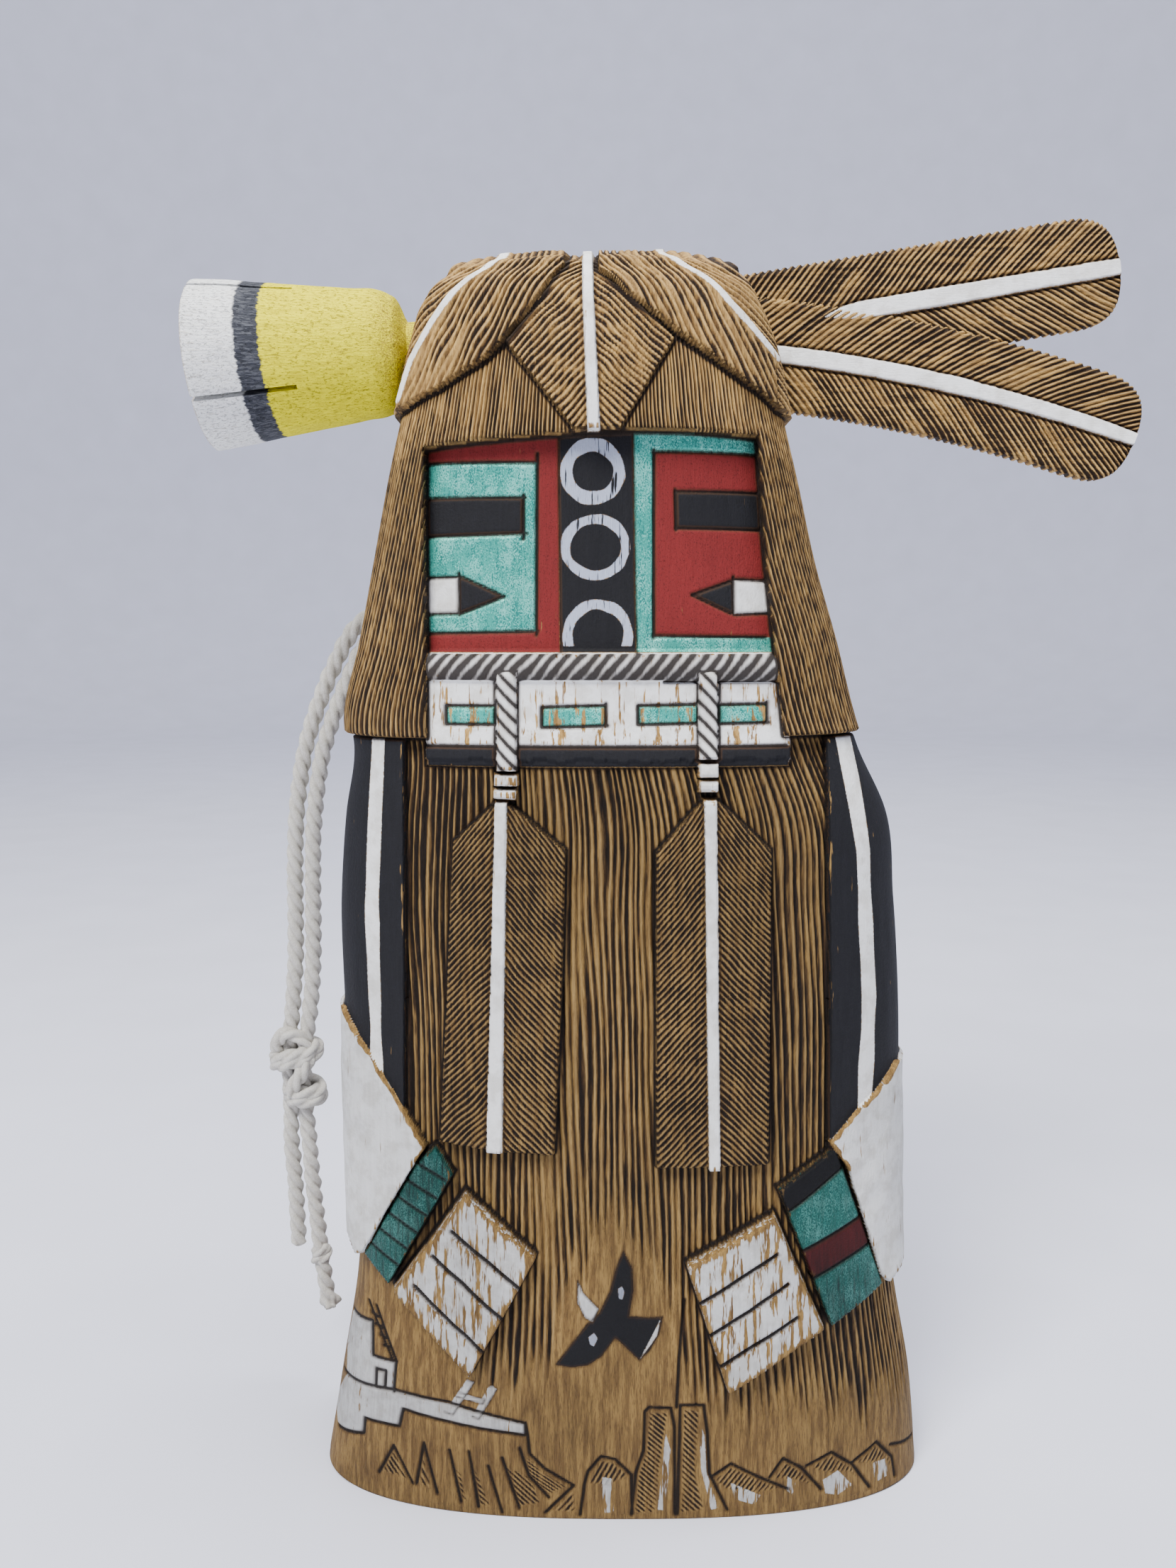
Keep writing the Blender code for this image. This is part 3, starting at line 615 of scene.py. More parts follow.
@dataclass
class Studio:
    """The camera, the pale floor and backdrop, and soft lights."""

    camera_place: tuple[float, float, float] = (-7.0, -226.0, 166.0)
    camera_pitch: float = 7.0
    focal: float = 27.18
    room_radius: float = 2.4
    bend: float = 0.5
    wall_height: float = 2.5

    def make_camera(self) -> None:
        """Puts the camera where the photograph was taken from."""
        data = bpy.data.cameras.new("camera")
        data.lens = self.focal
        data.sensor_width = 36.0
        camera = bpy.data.objects.new("camera", data)
        camera.location = [share * MM for share in self.camera_place]
        camera.rotation_euler = (math.radians(90.0 - self.camera_pitch), 0.0, 0.0)
        bpy.context.scene.collection.objects.link(camera)
        bpy.context.scene.camera = camera

    def make_floor(self) -> None:
        """A round floor that curves up into a wall on every side."""
        angle = np.linspace(0.0, math.pi / 2, 13)
        curve = self.room_radius - self.bend * (1 - np.sin(angle))
        radii = np.concatenate([[0.4, 1.1], curve, [self.room_radius]])
        heights = np.concatenate([[0.0, 0.0], self.bend * (1 - np.cos(angle)), [self.wall_height]])
        sides = 120
        turn = np.linspace(0.0, 2 * math.pi, sides, endpoint=False)
        points = np.stack([radii[:, None] * np.cos(turn), radii[:, None] * np.sin(turn),
                           heights[:, None] + 0 * turn], axis=-1).reshape(-1, 3)
        faces = strip_faces(len(radii), sides).tolist() + fan_faces(0, sides, len(points), False)
        floor = piece_from("floor", np.concatenate([points, [[0.0, 0.0, 0.0]]]) / MM, faces, {})
        floor.data.materials.append(FloorFinish().make())

    def make_light(self, name: str, place: tuple[float, float, float], size: float, power: float,
                   tint: Colour, target: tuple[float, float, float] = (0.0, 0.0, 0.12)) -> None:
        """Adds one soft square light.

        Args:
            name: The light's name.
            place: Where it hangs, in metres.
            size: Its side, in metres.
            power: Its power in watts.
            tint: Its colour.
            target: What it faces, in metres.
        """
        data = bpy.data.lights.new(name, "AREA")
        data.shape, data.size, data.energy, data.color = "SQUARE", size, power, tint[:3]
        light = bpy.data.objects.new(name, data)
        light.location = place
        aim = Vector(target) - Vector(place)
        light.rotation_euler = aim.to_track_quat("-Z", "Y").to_euler()
        bpy.context.scene.collection.objects.link(light)

    def light_room(self) -> None:
        """Soft light from above and the front, and a pale room around."""
        self.make_light("window", (-0.30, -0.50, 0.86), 0.34, 14.5, (1.0, 0.99, 0.975, 1.0))
        self.make_light("ceiling", (0.35, -0.1, 1.3), 0.7, 15.0, (0.97, 0.98, 1.0, 1.0))
        self.make_light("far_wall", (0.0, 0.9, 2.2), 2.0, 22.0, (0.93, 0.94, 1.0, 1.0),
                        (0.0, self.room_radius, 0.4))
        world = bpy.data.worlds.new("room")
        world.use_nodes = True
        sky = world.node_tree.nodes["Background"]
        sky.inputs["Color"].default_value = (0.80, 0.80, 0.88, 1.0)
        sky.inputs["Strength"].default_value = 0.55
        bpy.context.scene.world = world

    def build(self) -> None:
        """Makes everything around the doll."""
        self.make_camera()
        self.make_floor()
        self.light_room()
        log.info("studio: camera, floor and lights")


# The carved block


@dataclass(frozen=True)
class Block:
    """The bare half-round block: its height, front and back, and its section at each height."""

    side_y: float = 2.0
    front_bulge: float = 22.0
    side_depth: float = 18.0
    edge_break: float = 1.2
    rows: tuple = (
        (0.0, -60.3, 60.3, 1.00, 1.00, 0.0),
        (20.0, -57.0, 58.2, 0.99, 1.00, 0.0),
        (42.0, -53.2, 54.2, 0.94, 1.00, 0.0),
        (70.0, -53.0, 52.8, 0.87, 1.00, 0.0),
        (95.0, -53.0, 52.0, 0.845, 1.00, 0.0),
        (117.0, -53.2, 50.4, 0.83, 1.00, 0.0),
        (133.0, -51.8, 48.6, 0.82, 1.00, 0.0),
        (146.0, -50.0, 42.6, 0.80, 1.00, 0.0),
        (150.0, -50.4, 41.2, 0.77, 1.00, 0.0),
        (165.0, -47.2, 37.0, 0.75, 1.00, 0.0),
        (180.0, -44.0, 32.4, 0.72, 1.00, 0.0),
        (195.0, -41.0, 28.8, 0.71, 1.00, 0.0),
        (206.0, -38.4, 26.0, 0.72, 1.00, 0.0),
        (212.0, -36.8, 24.6, 0.71, 1.00, 0.15),
        (218.0, -35.0, 22.8, 0.67, 1.00, 0.30),
        (224.0, -32.6, 19.8, 0.59, 1.00, 0.50),
        (228.0, -28.6, 16.8, 0.48, 0.97, 0.75),
        (230.8, -21.0, 11.2, 0.35, 0.90, 0.95),
        (231.7, -11.0, 4.5, 0.21, 0.78, 1.00),
    )

    def at(self, heights: np.ndarray) -> np.ndarray:
        """Middle, half width, bulge, depth and lift at each height, as columns."""
        table = np.array(self.rows)
        left, right, bulge, depth, lift = (
            smooth_between(heights, table[:, 0], table[:, i]) for i in range(1, 6)
        )
        return np.stack([(left + right) / 2, (right - left) / 2, bulge * self.front_bulge,
                         depth * self.side_depth, lift], axis=-1)


@dataclass(frozen=True)
class Layer:
    """One carved layer: its outline from the front, its height, and how far back it wraps."""

    name: str
    outline: Outline
    raised: float
    wraps: float = 0.1


HAIR: Outline = (
    (-75, 148.3), (-36, 148.3), (-36.1, 163.5), (-36.2, 199.6), (-18.1, 200.8), (-3.8, 201.8), (8.1, 201.9),
    (23.2, 201.5), (24.5, 184.7), (26.1, 168.7), (28.3, 148.7), (70, 148.7), (70, 265), (-75, 265),
)
CENTRE_FEATHER: Outline = (
    (-10.9, 262), (-12, 231), (-21.7, 216.9), (-9.5, 201.6), (-1.4, 201.7), (8.2, 217.4), (-4.8, 230),
    (-5.6, 262),
)
CENTRE_QUILL: Outline = ((-8.3, 262), (-8, 225), (-7.1, 201.4), (-4.9, 201.4), (-6, 225), (-6.3, 262))
LEFT_SIDE_FEATHER: Outline = (
    (-11, 265), (-11.1, 232.7), (-15.3, 224.4), (-21.4, 217.2), (-25.4, 213.6), (-32.9, 209.4),
    (-40.7, 206.9), (-60, 204.5), (-60, 265),
)
RIGHT_SIDE_FEATHER: Outline = (
    (-5.4, 265), (-5.2, 230.8), (-0.4, 224.9), (8.2, 218.5), (14.1, 214.6), (20.1, 210.7), (27.8, 206.6),
    (50, 203), (50, 265),
)
LEFT_SIDE_QUILL: Outline = (
    (-16.5, 247), (-20, 238), (-28.2, 227.9), (-34.2, 221), (-38.4, 215), (-41, 208.6),
)
RIGHT_SIDE_QUILL: Outline = (
    (2, 247), (6, 236), (12.5, 229.1), (17.2, 223.9), (21.8, 219.6), (26.6, 215.6),
)
SASH: Outline = ((-36.3, 143.3), (29.6, 143.3), (29.6, 147.2), (28.6, 158.9), (-36.3, 158.9))
ROPE: Outline = ((-36.4, 158.6), (27.6, 158.3), (27.4, 161.6), (26.4, 163.5), (-36.4, 163.5))
LEFT_TIE: Outline = ((-23.4, 142.6), (-19.8, 142.6), (-19.7, 160), (-23.3, 160))
RIGHT_TIE: Outline = ((12.8, 144.7), (16.2, 144.7), (16.1, 160), (12.7, 160))
TIE_BEADS: tuple[Outline, ...] = (
    ((-23.8, 139.9), (-19.6, 139.9), (-19.6, 141.9), (-23.7, 141.9)),
    ((-23.9, 137.6), (-19.9, 137.5), (-19.8, 139.2), (-23.8, 139.3)),
    ((12.8, 141.5), (16.2, 141.5), (16.2, 143.9), (12.8, 143.9)),
    ((12.9, 138.9), (16.2, 138.9), (16.2, 140.8), (12.9, 140.8)),
)
LEFT_CHEST_FEATHER: Outline = (
    (-24.2, 136.2), (-31.4, 129.5), (-34.5, 73.3), (-24, 72.1), (-13.2, 71.8), (-11.8, 103.2), (-11, 128.3),
    (-20.9, 136.5),
)
RIGHT_CHEST_FEATHER: Outline = (
    (13.1, 136.9), (5.3, 127.9), (5.6, 69.4), (26.4, 69.5), (26.1, 128.1), (16.5, 137.1),
)
LEFT_CHEST_QUILL: Outline = ((-23.7, 137), (-25.8, 71.9), (-22.7, 71.9), (-21.4, 137))
RIGHT_CHEST_QUILL: Outline = ((13.6, 137.4), (15.2, 69), (17.4, 69), (16, 137.4))
LEFT_ARM: Outline = ((-75, 148), (-40.3, 148), (-40.7, 114.6), (-41.4, 76), (-75, 79))
RIGHT_ARM: Outline = ((36.6, 148.2), (75, 148.2), (75, 76), (38.3, 71), (37.7, 101.4))
LEFT_SLEEVE: Outline = (
    (-75, 97.5), (-54.6, 95.6), (-47.8, 88), (-41.5, 79), (-37.3, 71.8), (-38.9, 69.4), (-50.7, 48.2),
    (-52.6, 46.8), (-56, 50), (-75, 53),
)
RIGHT_SLEEVE: Outline = (
    (75, 89), (52.4, 85.3), (46.6, 80.4), (43.5, 78.2), (38.1, 72.8), (42.1, 66.7), (45.5, 56.1),
    (49.5, 44.5), (51.2, 42.6), (54.6, 44), (75, 49),
)
LEFT_WRISTBAND: Outline = ((-38.9, 68.9), (-35.3, 72.3), (-32.1, 67.2), (-45.1, 43.7), (-50.4, 48))
RIGHT_WRISTBAND: Outline = ((28.4, 64.6), (39.3, 71.6), (49.9, 42.8), (38.8, 37.3))
LEFT_HAND: Outline = ((-29.8, 64.1), (-16.6, 52.5), (-29.1, 29), (-44.1, 43.1))
RIGHT_HAND: Outline = ((11.2, 51.2), (27.7, 59.9), (37.3, 37.5), (19.1, 26.6))

LEFT_FINGER_LINES: tuple[Outline, ...] = (
    ((-32.4, 56.7), (-18.7, 46.1)), ((-36, 51.6), (-22.4, 40.2)), ((-39.7, 45.2), (-26.4, 34.1)),
)
RIGHT_FINGER_LINES: tuple[Outline, ...] = (
    ((12.4, 43.5), (28.1, 52.8)), ((14.6, 37.5), (30.3, 46.9)), ((16.9, 31.9), (32.1, 40.4)),
)
RIGHT_BAND_LINES: tuple[Outline, ...] = (
    ((30.6, 60.6), (40.9, 67.8)), ((33.2, 52.7), (45, 57.5)), ((35.2, 47.2), (47, 51.8)),
)

# The face's panels, worked as knife cuts and the paints between them.
FACE_CUTS: tuple[Outline, ...] = (
    ((-36.2, 197.1), (-15.4, 196.6)), ((-15.9, 198.6), (-16.2, 166.2)), ((-36.5, 166.9), (-15.5, 167.3)),
    ((-36.2, 190.9), (-17.7, 190.6)), ((-36.2, 184.1), (-17.4, 184.4)), ((-18.4, 191.5), (-18.4, 183)),
    ((-36.6, 176.8), (-30.2, 176.9)), ((-36.8, 170.3), (-30.1, 170.4)), ((-30.2, 178), (-30.2, 169.8)),
    ((-30.2, 177.2), (-21.9, 173.4), (-30.2, 170.3)), ((4, 198.5), (24.9, 198.6)),
    ((4.6, 199.2), (4.7, 165.7)), ((4.1, 166.5), (25.6, 166.2)), ((8, 191.7), (24.9, 191.9)),
    ((8.1, 185.4), (25, 185.3)), ((8.4, 192.4), (8.6, 184.7)), ((19, 176.5), (25.4, 176.3)),
    ((19, 170.2), (25.8, 170.5)), ((19.1, 177.3), (19.2, 169.9)), ((19, 176.3), (11.5, 173.7), (19, 170.3)),
)
COLUMN_CUTS: tuple[Outline, ...] = (((-12.2, 201.8), (-11.8, 163.3)), ((0.9, 201.8), (1.7, 163.3)))
ARM_STRIPES: tuple[Outline, ...] = (
    ((-46.6, 150), (-48.6, 117), (-48.1, 95.5), (-48, 80), (-45.6, 78), (-45.7, 95.5), (-45.8, 117),
     (-43.9, 150)),
    ((38.1, 150), (42.5, 127), (44, 99.5), (43.7, 74), (46.6, 74), (47.1, 99.5), (45.2, 127), (41.8, 150)),
)
SASH_BOXES: tuple[Outline, ...] = (
    slanted_box(-32.6, -23.4, 150.8, 154.1), slanted_box(-15.3, -3.8, 150.3, 153.9, 0.3),
    slanted_box(1.9, 12.9, 150.8, 154.2, 0.2), slanted_box(16.2, 25.3, 150.9, 154.3, 0.1),
)

# The painted country around the base: broad shapes only.
BIRD: Outline = (
    (-0.4, 52.9), (1.2, 49.7), (1.4, 45.3), (0.6, 40.3), (3.8, 40.1), (6.9, 40.2), (6.3, 37), (4.5, 33.8),
    (2.6, 31.9), (0.1, 34.4), (-1.9, 36.3), (-4.6, 32.6), (-7.1, 30.9), (-10.1, 30.5), (-13, 30.9),
    (-10.1, 35), (-7.1, 38.9), (-4.8, 41.1), (-2.8, 45.3), (-1.7, 49.7),
)
BIRD_HEAD: Outline = ((-8.9, 47.2), (-7.9, 44.9), (-5, 41.8), (-6.2, 39.2), (-7.6, 40.2), (-9, 43.1))
BIRD_MARKS: tuple[Outline, ...] = (
    ((-1.5, 45.6), (-0.7, 46.2), (-0.2, 45), (-0.6, 43.6), (-1.2, 43.9)),
    ((-6.9, 36.4), (-5.9, 37.2), (-5.2, 36.2), (-5.9, 34.6), (-6.6, 35)),
    ((6.5, 39.8), (5.9, 36.6), (2.7, 32.1), (5.1, 36.9)),
)
VILLAGE: tuple[Outline, ...] = (
    ((-53.9, 32.8), (-49.1, 34), (-49, 27.4), (-44.1, 27.6), (-44.6, 21.9), (-55, 20), (-55.4, 26)),
    ((-55, 20.6), (-44.6, 22.2), (-33.7, 21.7), (-18.9, 18.9), (-18.9, 16.9), (-42.6, 19), (-43.5, 15.4),
     (-50.7, 14.7), (-51, 11.6), (-57, 9.3), (-58.9, 12)),
)
LADDER_RAILS: tuple[Outline, ...] = (
    ((-29.9, 27), (-28.4, 26.6), (-32.7, 19.6), (-34.3, 20)),
    ((-25.6, 26.2), (-24.1, 25.7), (-27.6, 19.4), (-28.9, 19.8)),
    ((-31.7, 24.3), (-26.4, 23.4), (-26.9, 22.5), (-31.9, 23.3)),
)
BASE_CUTS: tuple[Outline, ...] = (
    ((-53.9, 32.8), (-49.1, 34), (-49, 27.4), (-44.1, 27.8), (-44.6, 21.9)),
    ((-56, 20.5), (-44.6, 22.3), (-33.7, 22), (-18.9, 19.1), (-18.8, 16.7), (-42.7, 18.9), (-43.5, 15.3),
     (-50.7, 14.6), (-51, 11.5), (-57, 9.2)),
    ((-48.2, 25.2), (-46.2, 25.4), (-46.4, 22)), ((-48.2, 25.2), (-48.3, 21.9)),
    ((-49.9, 37.4), (-44.8, 27.8)), ((-48.3, 37.2), (-44, 27.8)), ((-49.3, 35.4), (-47.4, 35.2)),
    ((-48.5, 33.6), (-46.6, 33.4)), ((-47.6, 31.9), (-45.8, 31.7)), ((-46.7, 30.2), (-45, 30)),
    ((-18.9, 19.2), (-18.4, 16.5), (-18.1, 13.1), (-15.1, 10), (-9.7, 6.8), (-15.1, 1.2)),
    ((-47.9, 4.8), (-44.7, 11.1), (-40.9, 4.4)), ((-40.1, 4.5), (-38.6, 13), (-35.9, 3.3)),
    ((-33.5, 12.4), (-31.3, 2.2)), ((-29.7, 12.6), (-27.9, 1.6)), ((-26, 10.1), (-23.4, 0.8)),
    ((-23.3, 11.9), (-20.1, 1.8)), ((-20, 14.1), (-18.2, 8.5), (-14.5, 4.3)),
    ((-8.5, 0.8), (-7.7, 7), (-7, 9.8), (-4.5, 12.9), (-1.9, 12.3), (1.2, 9.2), (1.4, 1.2)),
    ((1.2, 1), (2, 9.4), (3.5, 14.1), (3.7, 21.9), (4.5, 22.7), (8.6, 22.4), (9.3, 18.8), (9.5, 1)),
    ((10, 1), (10.4, 23), (14.8, 22.9), (15.6, 17.1), (16, 9.2), (19.5, 1.6)),
    ((16.4, 8.5), (20.1, 11), (25.3, 8), (31.3, 4.8)),
    ((27.6, 7.6), (30.2, 11.2), (33.8, 8.9), (37.8, 3.9)),
    ((34.8, 9.1), (39.8, 11.1), (44.1, 7.7), (47.9, 1.9)),
    ((43.9, 8), (49.3, 10.7), (52.9, 6.2), (53.6, 2)), ((52.4, 8.9), (58.4, 6.6)),
    ((11, 43.5), (10.1, 32.4), (9.7, 22.6)),
)
# Hatched ground: an outline, the slope of its strokes and how far apart they are.
HATCHED: tuple[tuple[Outline, float, float], ...] = (
    (((-47.6, 5.2), (-44.7, 10.6), (-41.4, 4.9)), -1.2, 1.0),
    (((-40, 4.6), (-38.6, 11.5), (-36.6, 3.6)), -1.6, 1.1),
    (((-33.2, 11), (-31.2, 2.4), (-29.8, 2.2), (-31, 8)), -0.8, 1.1),
    (((-29.4, 11), (-27.9, 1.8), (-25.2, 1.6), (-27.6, 8)), -0.8, 1.1),
    (((-23, 10.5), (-20.3, 2), (-15.6, 3), (-18, 9)), -0.9, 1.0),
    (((-18.9, 13.2), (-15.1, 9.4), (-10.4, 6.6), (-14.7, 4.6), (-18.6, 8.4)), -0.7, 0.9),
    (((-14.5, 1.4), (-9.7, 6.4), (-9, 1.2)), 1.2, 1.1),
    (((-7.5, 7), (-4.5, 12.4), (-1.9, 11.8), (1, 9), (-3, 7)), 1.9, 0.9),
    (((1.6, 1.2), (2.2, 9), (3.7, 14), (4.2, 22), (8.3, 21.8), (6.6, 9), (6, 1.2)), -0.9, 1.0),
    (((10.3, 1.2), (10.7, 22.4), (14.3, 22.2), (13.6, 9), (15.4, 1.6)), -1.0, 1.0),
    (((16.6, 8), (20.1, 10.6), (30.4, 5.2), (24, 4.4), (19, 5.8)), 1.3, 0.9),
    (((27.9, 7.2), (30.2, 10.8), (33.6, 8.6), (37, 4.2), (32, 6.6)), 1.4, 0.9),
    (((35, 8.8), (39.8, 10.8), (44, 7.4), (47.2, 2.4), (43.4, 6.2), (38.2, 7.2)), 1.5, 0.9),
    (((44.2, 7.8), (49.3, 10.3), (52.7, 6), (53, 2.4), (51, 6.6), (47.6, 6.8)), 1.5, 0.9),
)
SNOWY: tuple[Outline, ...] = (
    ((-4.6, 8.8), (-2.4, 8.4), (-2.2, 1.6), (-4, 1.4)),
    ((7.6, 17.6), (8.6, 14), (7.6, 2), (6.2, 2), (7, 10)),
    ((14, 19.5), (15, 17), (15.4, 9.8), (17.6, 2.2), (16.4, 1.8), (14.4, 10)),
    ((20, 7.2), (25.8, 4.2), (24.6, 2.4), (20.8, 3.8)), ((31, 7.6), (32.6, 6), (32, 3.6), (31, 4.6)),
    ((38, 5.8), (41, 7.2), (44, 3.6), (41, 2.2), (38.6, 3)),
    ((48.4, 6.8), (51.4, 6.6), (51.8, 3), (49, 2.6)),
)
# Where the robe's burnt lines end above the bare base, as (across, up).
ROBE_ENDS: Outline = (
    (-75, 62), (-44, 58), (-36, 50), (-29, 33), (-25, 25), (-19, 27), (-14, 34), (-11.5, 46), (-2, 57),
    (8, 47), (9.8, 40), (10.6, 27), (14, 24), (24, 21), (38, 19), (50, 19), (75, 24),
)


def both(part: str) -> tuple[str, str]:
    """The names of a part on the left and on the right."""
    return f"left_{part}", f"right_{part}"


def pair(part: str, left: Outline, right: Outline, raised: float, wraps: float = 0.1) -> list[Layer]:
    """The same layer on the left and on the right."""
    return [Layer(name, outline, raised, wraps) for name, outline in zip(both(part), (left, right))]


@dataclass
class CarvedBody:
    """The whole carved block as rows of points, in bands that meet row to row."""

    block: Block
    bands: tuple[str, ...] = (
        "carved_base", "carved_robe", "carved_chest", "carved_face", "carved_crown",
    )
    front_columns: int = 486
    side_columns: int = 13
    back_columns: int = 30
    row_count: int = 636
    foot_rows: int = 12
    crown_rows: int = 22
    usual_half: float = 52.0
    usual_bulge: float = 18.6
    crown_fall: float = 3.2
    face_lift: float = 3.2
    robe_pitch: float = 1.22
    robe_groove: float = 0.50
    hair_pitch: float = 0.98
    hair_groove: float = 0.52
    chest_barb_pitch: float = 1.36
    chest_barb_groove: float = 0.36
    centre_barb_pitch: float = 1.42
    centre_barb_groove: float = 0.42
    side_barb_pitch: float = 1.12
    side_barb_groove: float = 0.46
    hatch_groove: float = 0.16
    rope_middle: float = 161.0
    rope_half: float = 2.6
    rope_pitch: float = 2.45
    rope_groove: float = 0.95
    tie_middles: tuple[float, float] = (-21.6, 14.4)
    tie_half: float = 2.1
    tie_pitch: float = 2.75
    tie_groove: float = 0.85
    quill_half: float = 0.62
    hole_heights: tuple[float, float] = (178.0, 171.2)
    hole_across: float = -36.0
    hole_radius: float = 2.1
    hole_depth: float = 4.5

    # The bare block

    def section_columns(self) -> dict[str, np.ndarray]:
        """The points round a section as shares of its sizes.

        Returns:
            For each column, how far across (share of the half width), how far forward (share of
            the bulge), how far back (share of the depth), whether it is on the flat back, and its
            length along the front in millimetres.
        """
        fine = np.linspace(0.0, math.pi, 20001)
        x = -np.sign(np.cos(fine)) * np.abs(np.cos(fine)) ** 0.8
        y = np.abs(np.sin(fine)) ** 0.8
        steps = np.hypot(np.diff(x) * self.usual_half, np.diff(y) * self.usual_bulge)
        length = np.concatenate([[0.0], np.cumsum(steps)])
        half = length[-1] / 2
        wanted = np.linspace(0.0, length[-1], self.front_columns)
        side = np.linspace(0.0, 1.0, self.side_columns + 1)[1:]
        back = np.linspace(1.0, -1.0, self.back_columns)
        ones = np.ones(self.side_columns)
        front_zeros, side_zeros = np.zeros(self.front_columns), np.zeros(self.side_columns)
        back_ones, back_zeros = np.ones(self.back_columns), np.zeros(self.back_columns)
        depth = self.block.side_depth
        parts = {
            "across": (np.interp(wanted, length, x), ones, back, -ones),
            "forward": (np.interp(wanted, length, y), side_zeros, back_zeros, side_zeros),
            "behind": (front_zeros, side, back_ones, side[::-1]),
            "broken": (front_zeros, side_zeros, back_ones, side_zeros),
            "travel": (wanted - half, half + side * depth, back * 50.0, -half - side[::-1] * depth),
        }
        return {name: np.concatenate(values) for name, values in parts.items()}

    def row_heights(self) -> np.ndarray:
        """Heights of the rows, evenly spaced along the block's own profile."""
        fine = np.linspace(0.35, 231.7, 8000)
        at = self.block.at(fine)
        steps = np.hypot(np.diff(fine), np.maximum(np.abs(np.diff(at[:, 1])), np.abs(np.diff(at[:, 2]))))
        length = np.concatenate([[0.0], np.cumsum(steps)])
        return np.interp(np.linspace(0.0, length[-1], self.row_count), length, fine)

    def bare_rows(self, sections: np.ndarray, columns: dict[str, np.ndarray]) -> np.ndarray:
        """The bare block's points at each column of some of its sections.

        Args:
            sections: The sizes of each section, as the block gives them.
            columns: What section_columns gives.

        Returns:
            Their x and y.
        """
        middle, half, bulge, depth = (sections[:, i, None] for i in range(4))
        edge = self.block.edge_break
        x = middle + (half - edge * columns["broken"]) * columns["across"]
        y = self.block.side_y - bulge * columns["forward"]
        y = y + (depth - edge * (1 - columns["broken"])) * columns["behind"]
        return np.stack([x, y], axis=-1)

    def lay_out(self) -> None:
        """Places every point of the bare block and the direction in which carving lifts it."""
        columns = self.section_columns()
        heights = self.row_heights()
        at, foot = self.block.at(heights), self.block.at(np.array([0.0]))
        flat = self.bare_rows(at, columns)
        shape = flat.shape[:2]
        base = np.dstack([flat, np.broadcast_to(heights[:, None], shape)])
        out = np.dstack([
            np.broadcast_to(columns["across"], shape), np.broadcast_to(-columns["forward"], shape),
            np.broadcast_to(at[:, 4, None], shape),
        ])

        top, top_out = base[-1], out[-1]
        centre = np.array([top[:, 0].mean(), self.block.side_y + 4.6, top[0, 2]])
        shares = 1.0 - np.linspace(0.0, 1.0, self.crown_rows + 1)[1:] * 0.97
        crown = centre + (top - centre) * shares[:, None, None]
        crown_out = top_out * np.stack([shares, shares, np.ones_like(shares)], axis=-1)[:, None, :]
        ring = np.dstack([self.bare_rows(foot, columns), np.zeros((1, shape[1]))])[0]
        inner = np.array([foot[0, 0], self.block.side_y, 0.0])
        insets = np.concatenate([[0.02, 0.25], np.linspace(0.5, 0.993, self.foot_rows - 2)])[::-1]
        insets[-1] = 0.007
        sole = inner + (ring - inner) * (1.0 - insets[:, None, None])
        self.base = np.concatenate([sole, base, crown])
        self.out = np.concatenate([np.zeros_like(sole), out, crown_out])
        count = len(self.base)
        share = np.abs(columns["across"])[None, :]
        before = columns["forward"][None, :] > 0
        body = np.zeros((count, 1))
        body[self.foot_rows:self.foot_rows + self.row_count, 0] = eased(224.0, 204.0, heights)
        self.straight = body * (1.0 - eased(0.80, 0.97, share)) * before
        self.section = np.concatenate([
            np.repeat(foot, self.foot_rows, axis=0), at, np.repeat(at[-1:], self.crown_rows, axis=0),
        ])[:, None, :]
        self.across, self.travel, self.on_back = (
            np.broadcast_to(columns[name], self.base.shape[:2]) for name in ("across", "travel", "broken")
        )

    # The carving

    def place(self, raised: np.ndarray | float) -> np.ndarray:
        """Where each point lies when it is raised above the bare block.

        On the face a point moves straight forward, as a chisel's wall is cut, and towards the sides
        it moves out with the curve.

        Args:
            raised: How far, in millimetres, for all points or for each.

        Returns:
            The points.
        """
        raised = np.broadcast_to(np.asarray(raised, float), self.across.shape)
        outward = self.base + raised[..., None] * self.out
        middle, half, bulge = (self.section[..., i] for i in range(3))
        x = outward[..., 0] + self.straight * (self.face_lift - raised) * self.across
        share = np.clip(np.abs(x - middle) / (half + raised), 0.0, 1.0)
        y = self.block.side_y - (bulge + raised) * (1.0 - share ** 2.5) ** 0.4
        y = np.where(self.straight > 0, y, outward[..., 1])
        return np.stack([x, y, outward[..., 2]], axis=-1)

    def layers(self) -> list[Layer]:
        """Every carved layer, lowest first."""
        beads = [Layer(f"bead_{i}", bead, 2.55) for i, bead in enumerate(TIE_BEADS)]
        return [
            Layer("sash", SASH, 1.3), *pair("arm", LEFT_ARM, RIGHT_ARM, 1.8, 0.75),
            *pair("chest_feather", LEFT_CHEST_FEATHER, RIGHT_CHEST_FEATHER, 2.2),
            *pair("wristband", LEFT_WRISTBAND, RIGHT_WRISTBAND, 2.3), Layer("rope", ROPE, 2.5), *beads,
            *pair("sleeve", LEFT_SLEEVE, RIGHT_SLEEVE, 2.7, 0.75),
            *pair("chest_quill", LEFT_CHEST_QUILL, RIGHT_CHEST_QUILL, 2.8),
            *pair("tie", LEFT_TIE, RIGHT_TIE, 2.9), *pair("hand", LEFT_HAND, RIGHT_HAND, 3.1),
            Layer("hair", HAIR, 3.2, 0.93), Layer("centre_feather", CENTRE_FEATHER, 3.9),
            Layer("centre_quill", CENTRE_QUILL, 4.6),
            *pair("side_feather", LEFT_SIDE_FEATHER, RIGHT_SIDE_FEATHER, 4.8, 0.75),
        ]

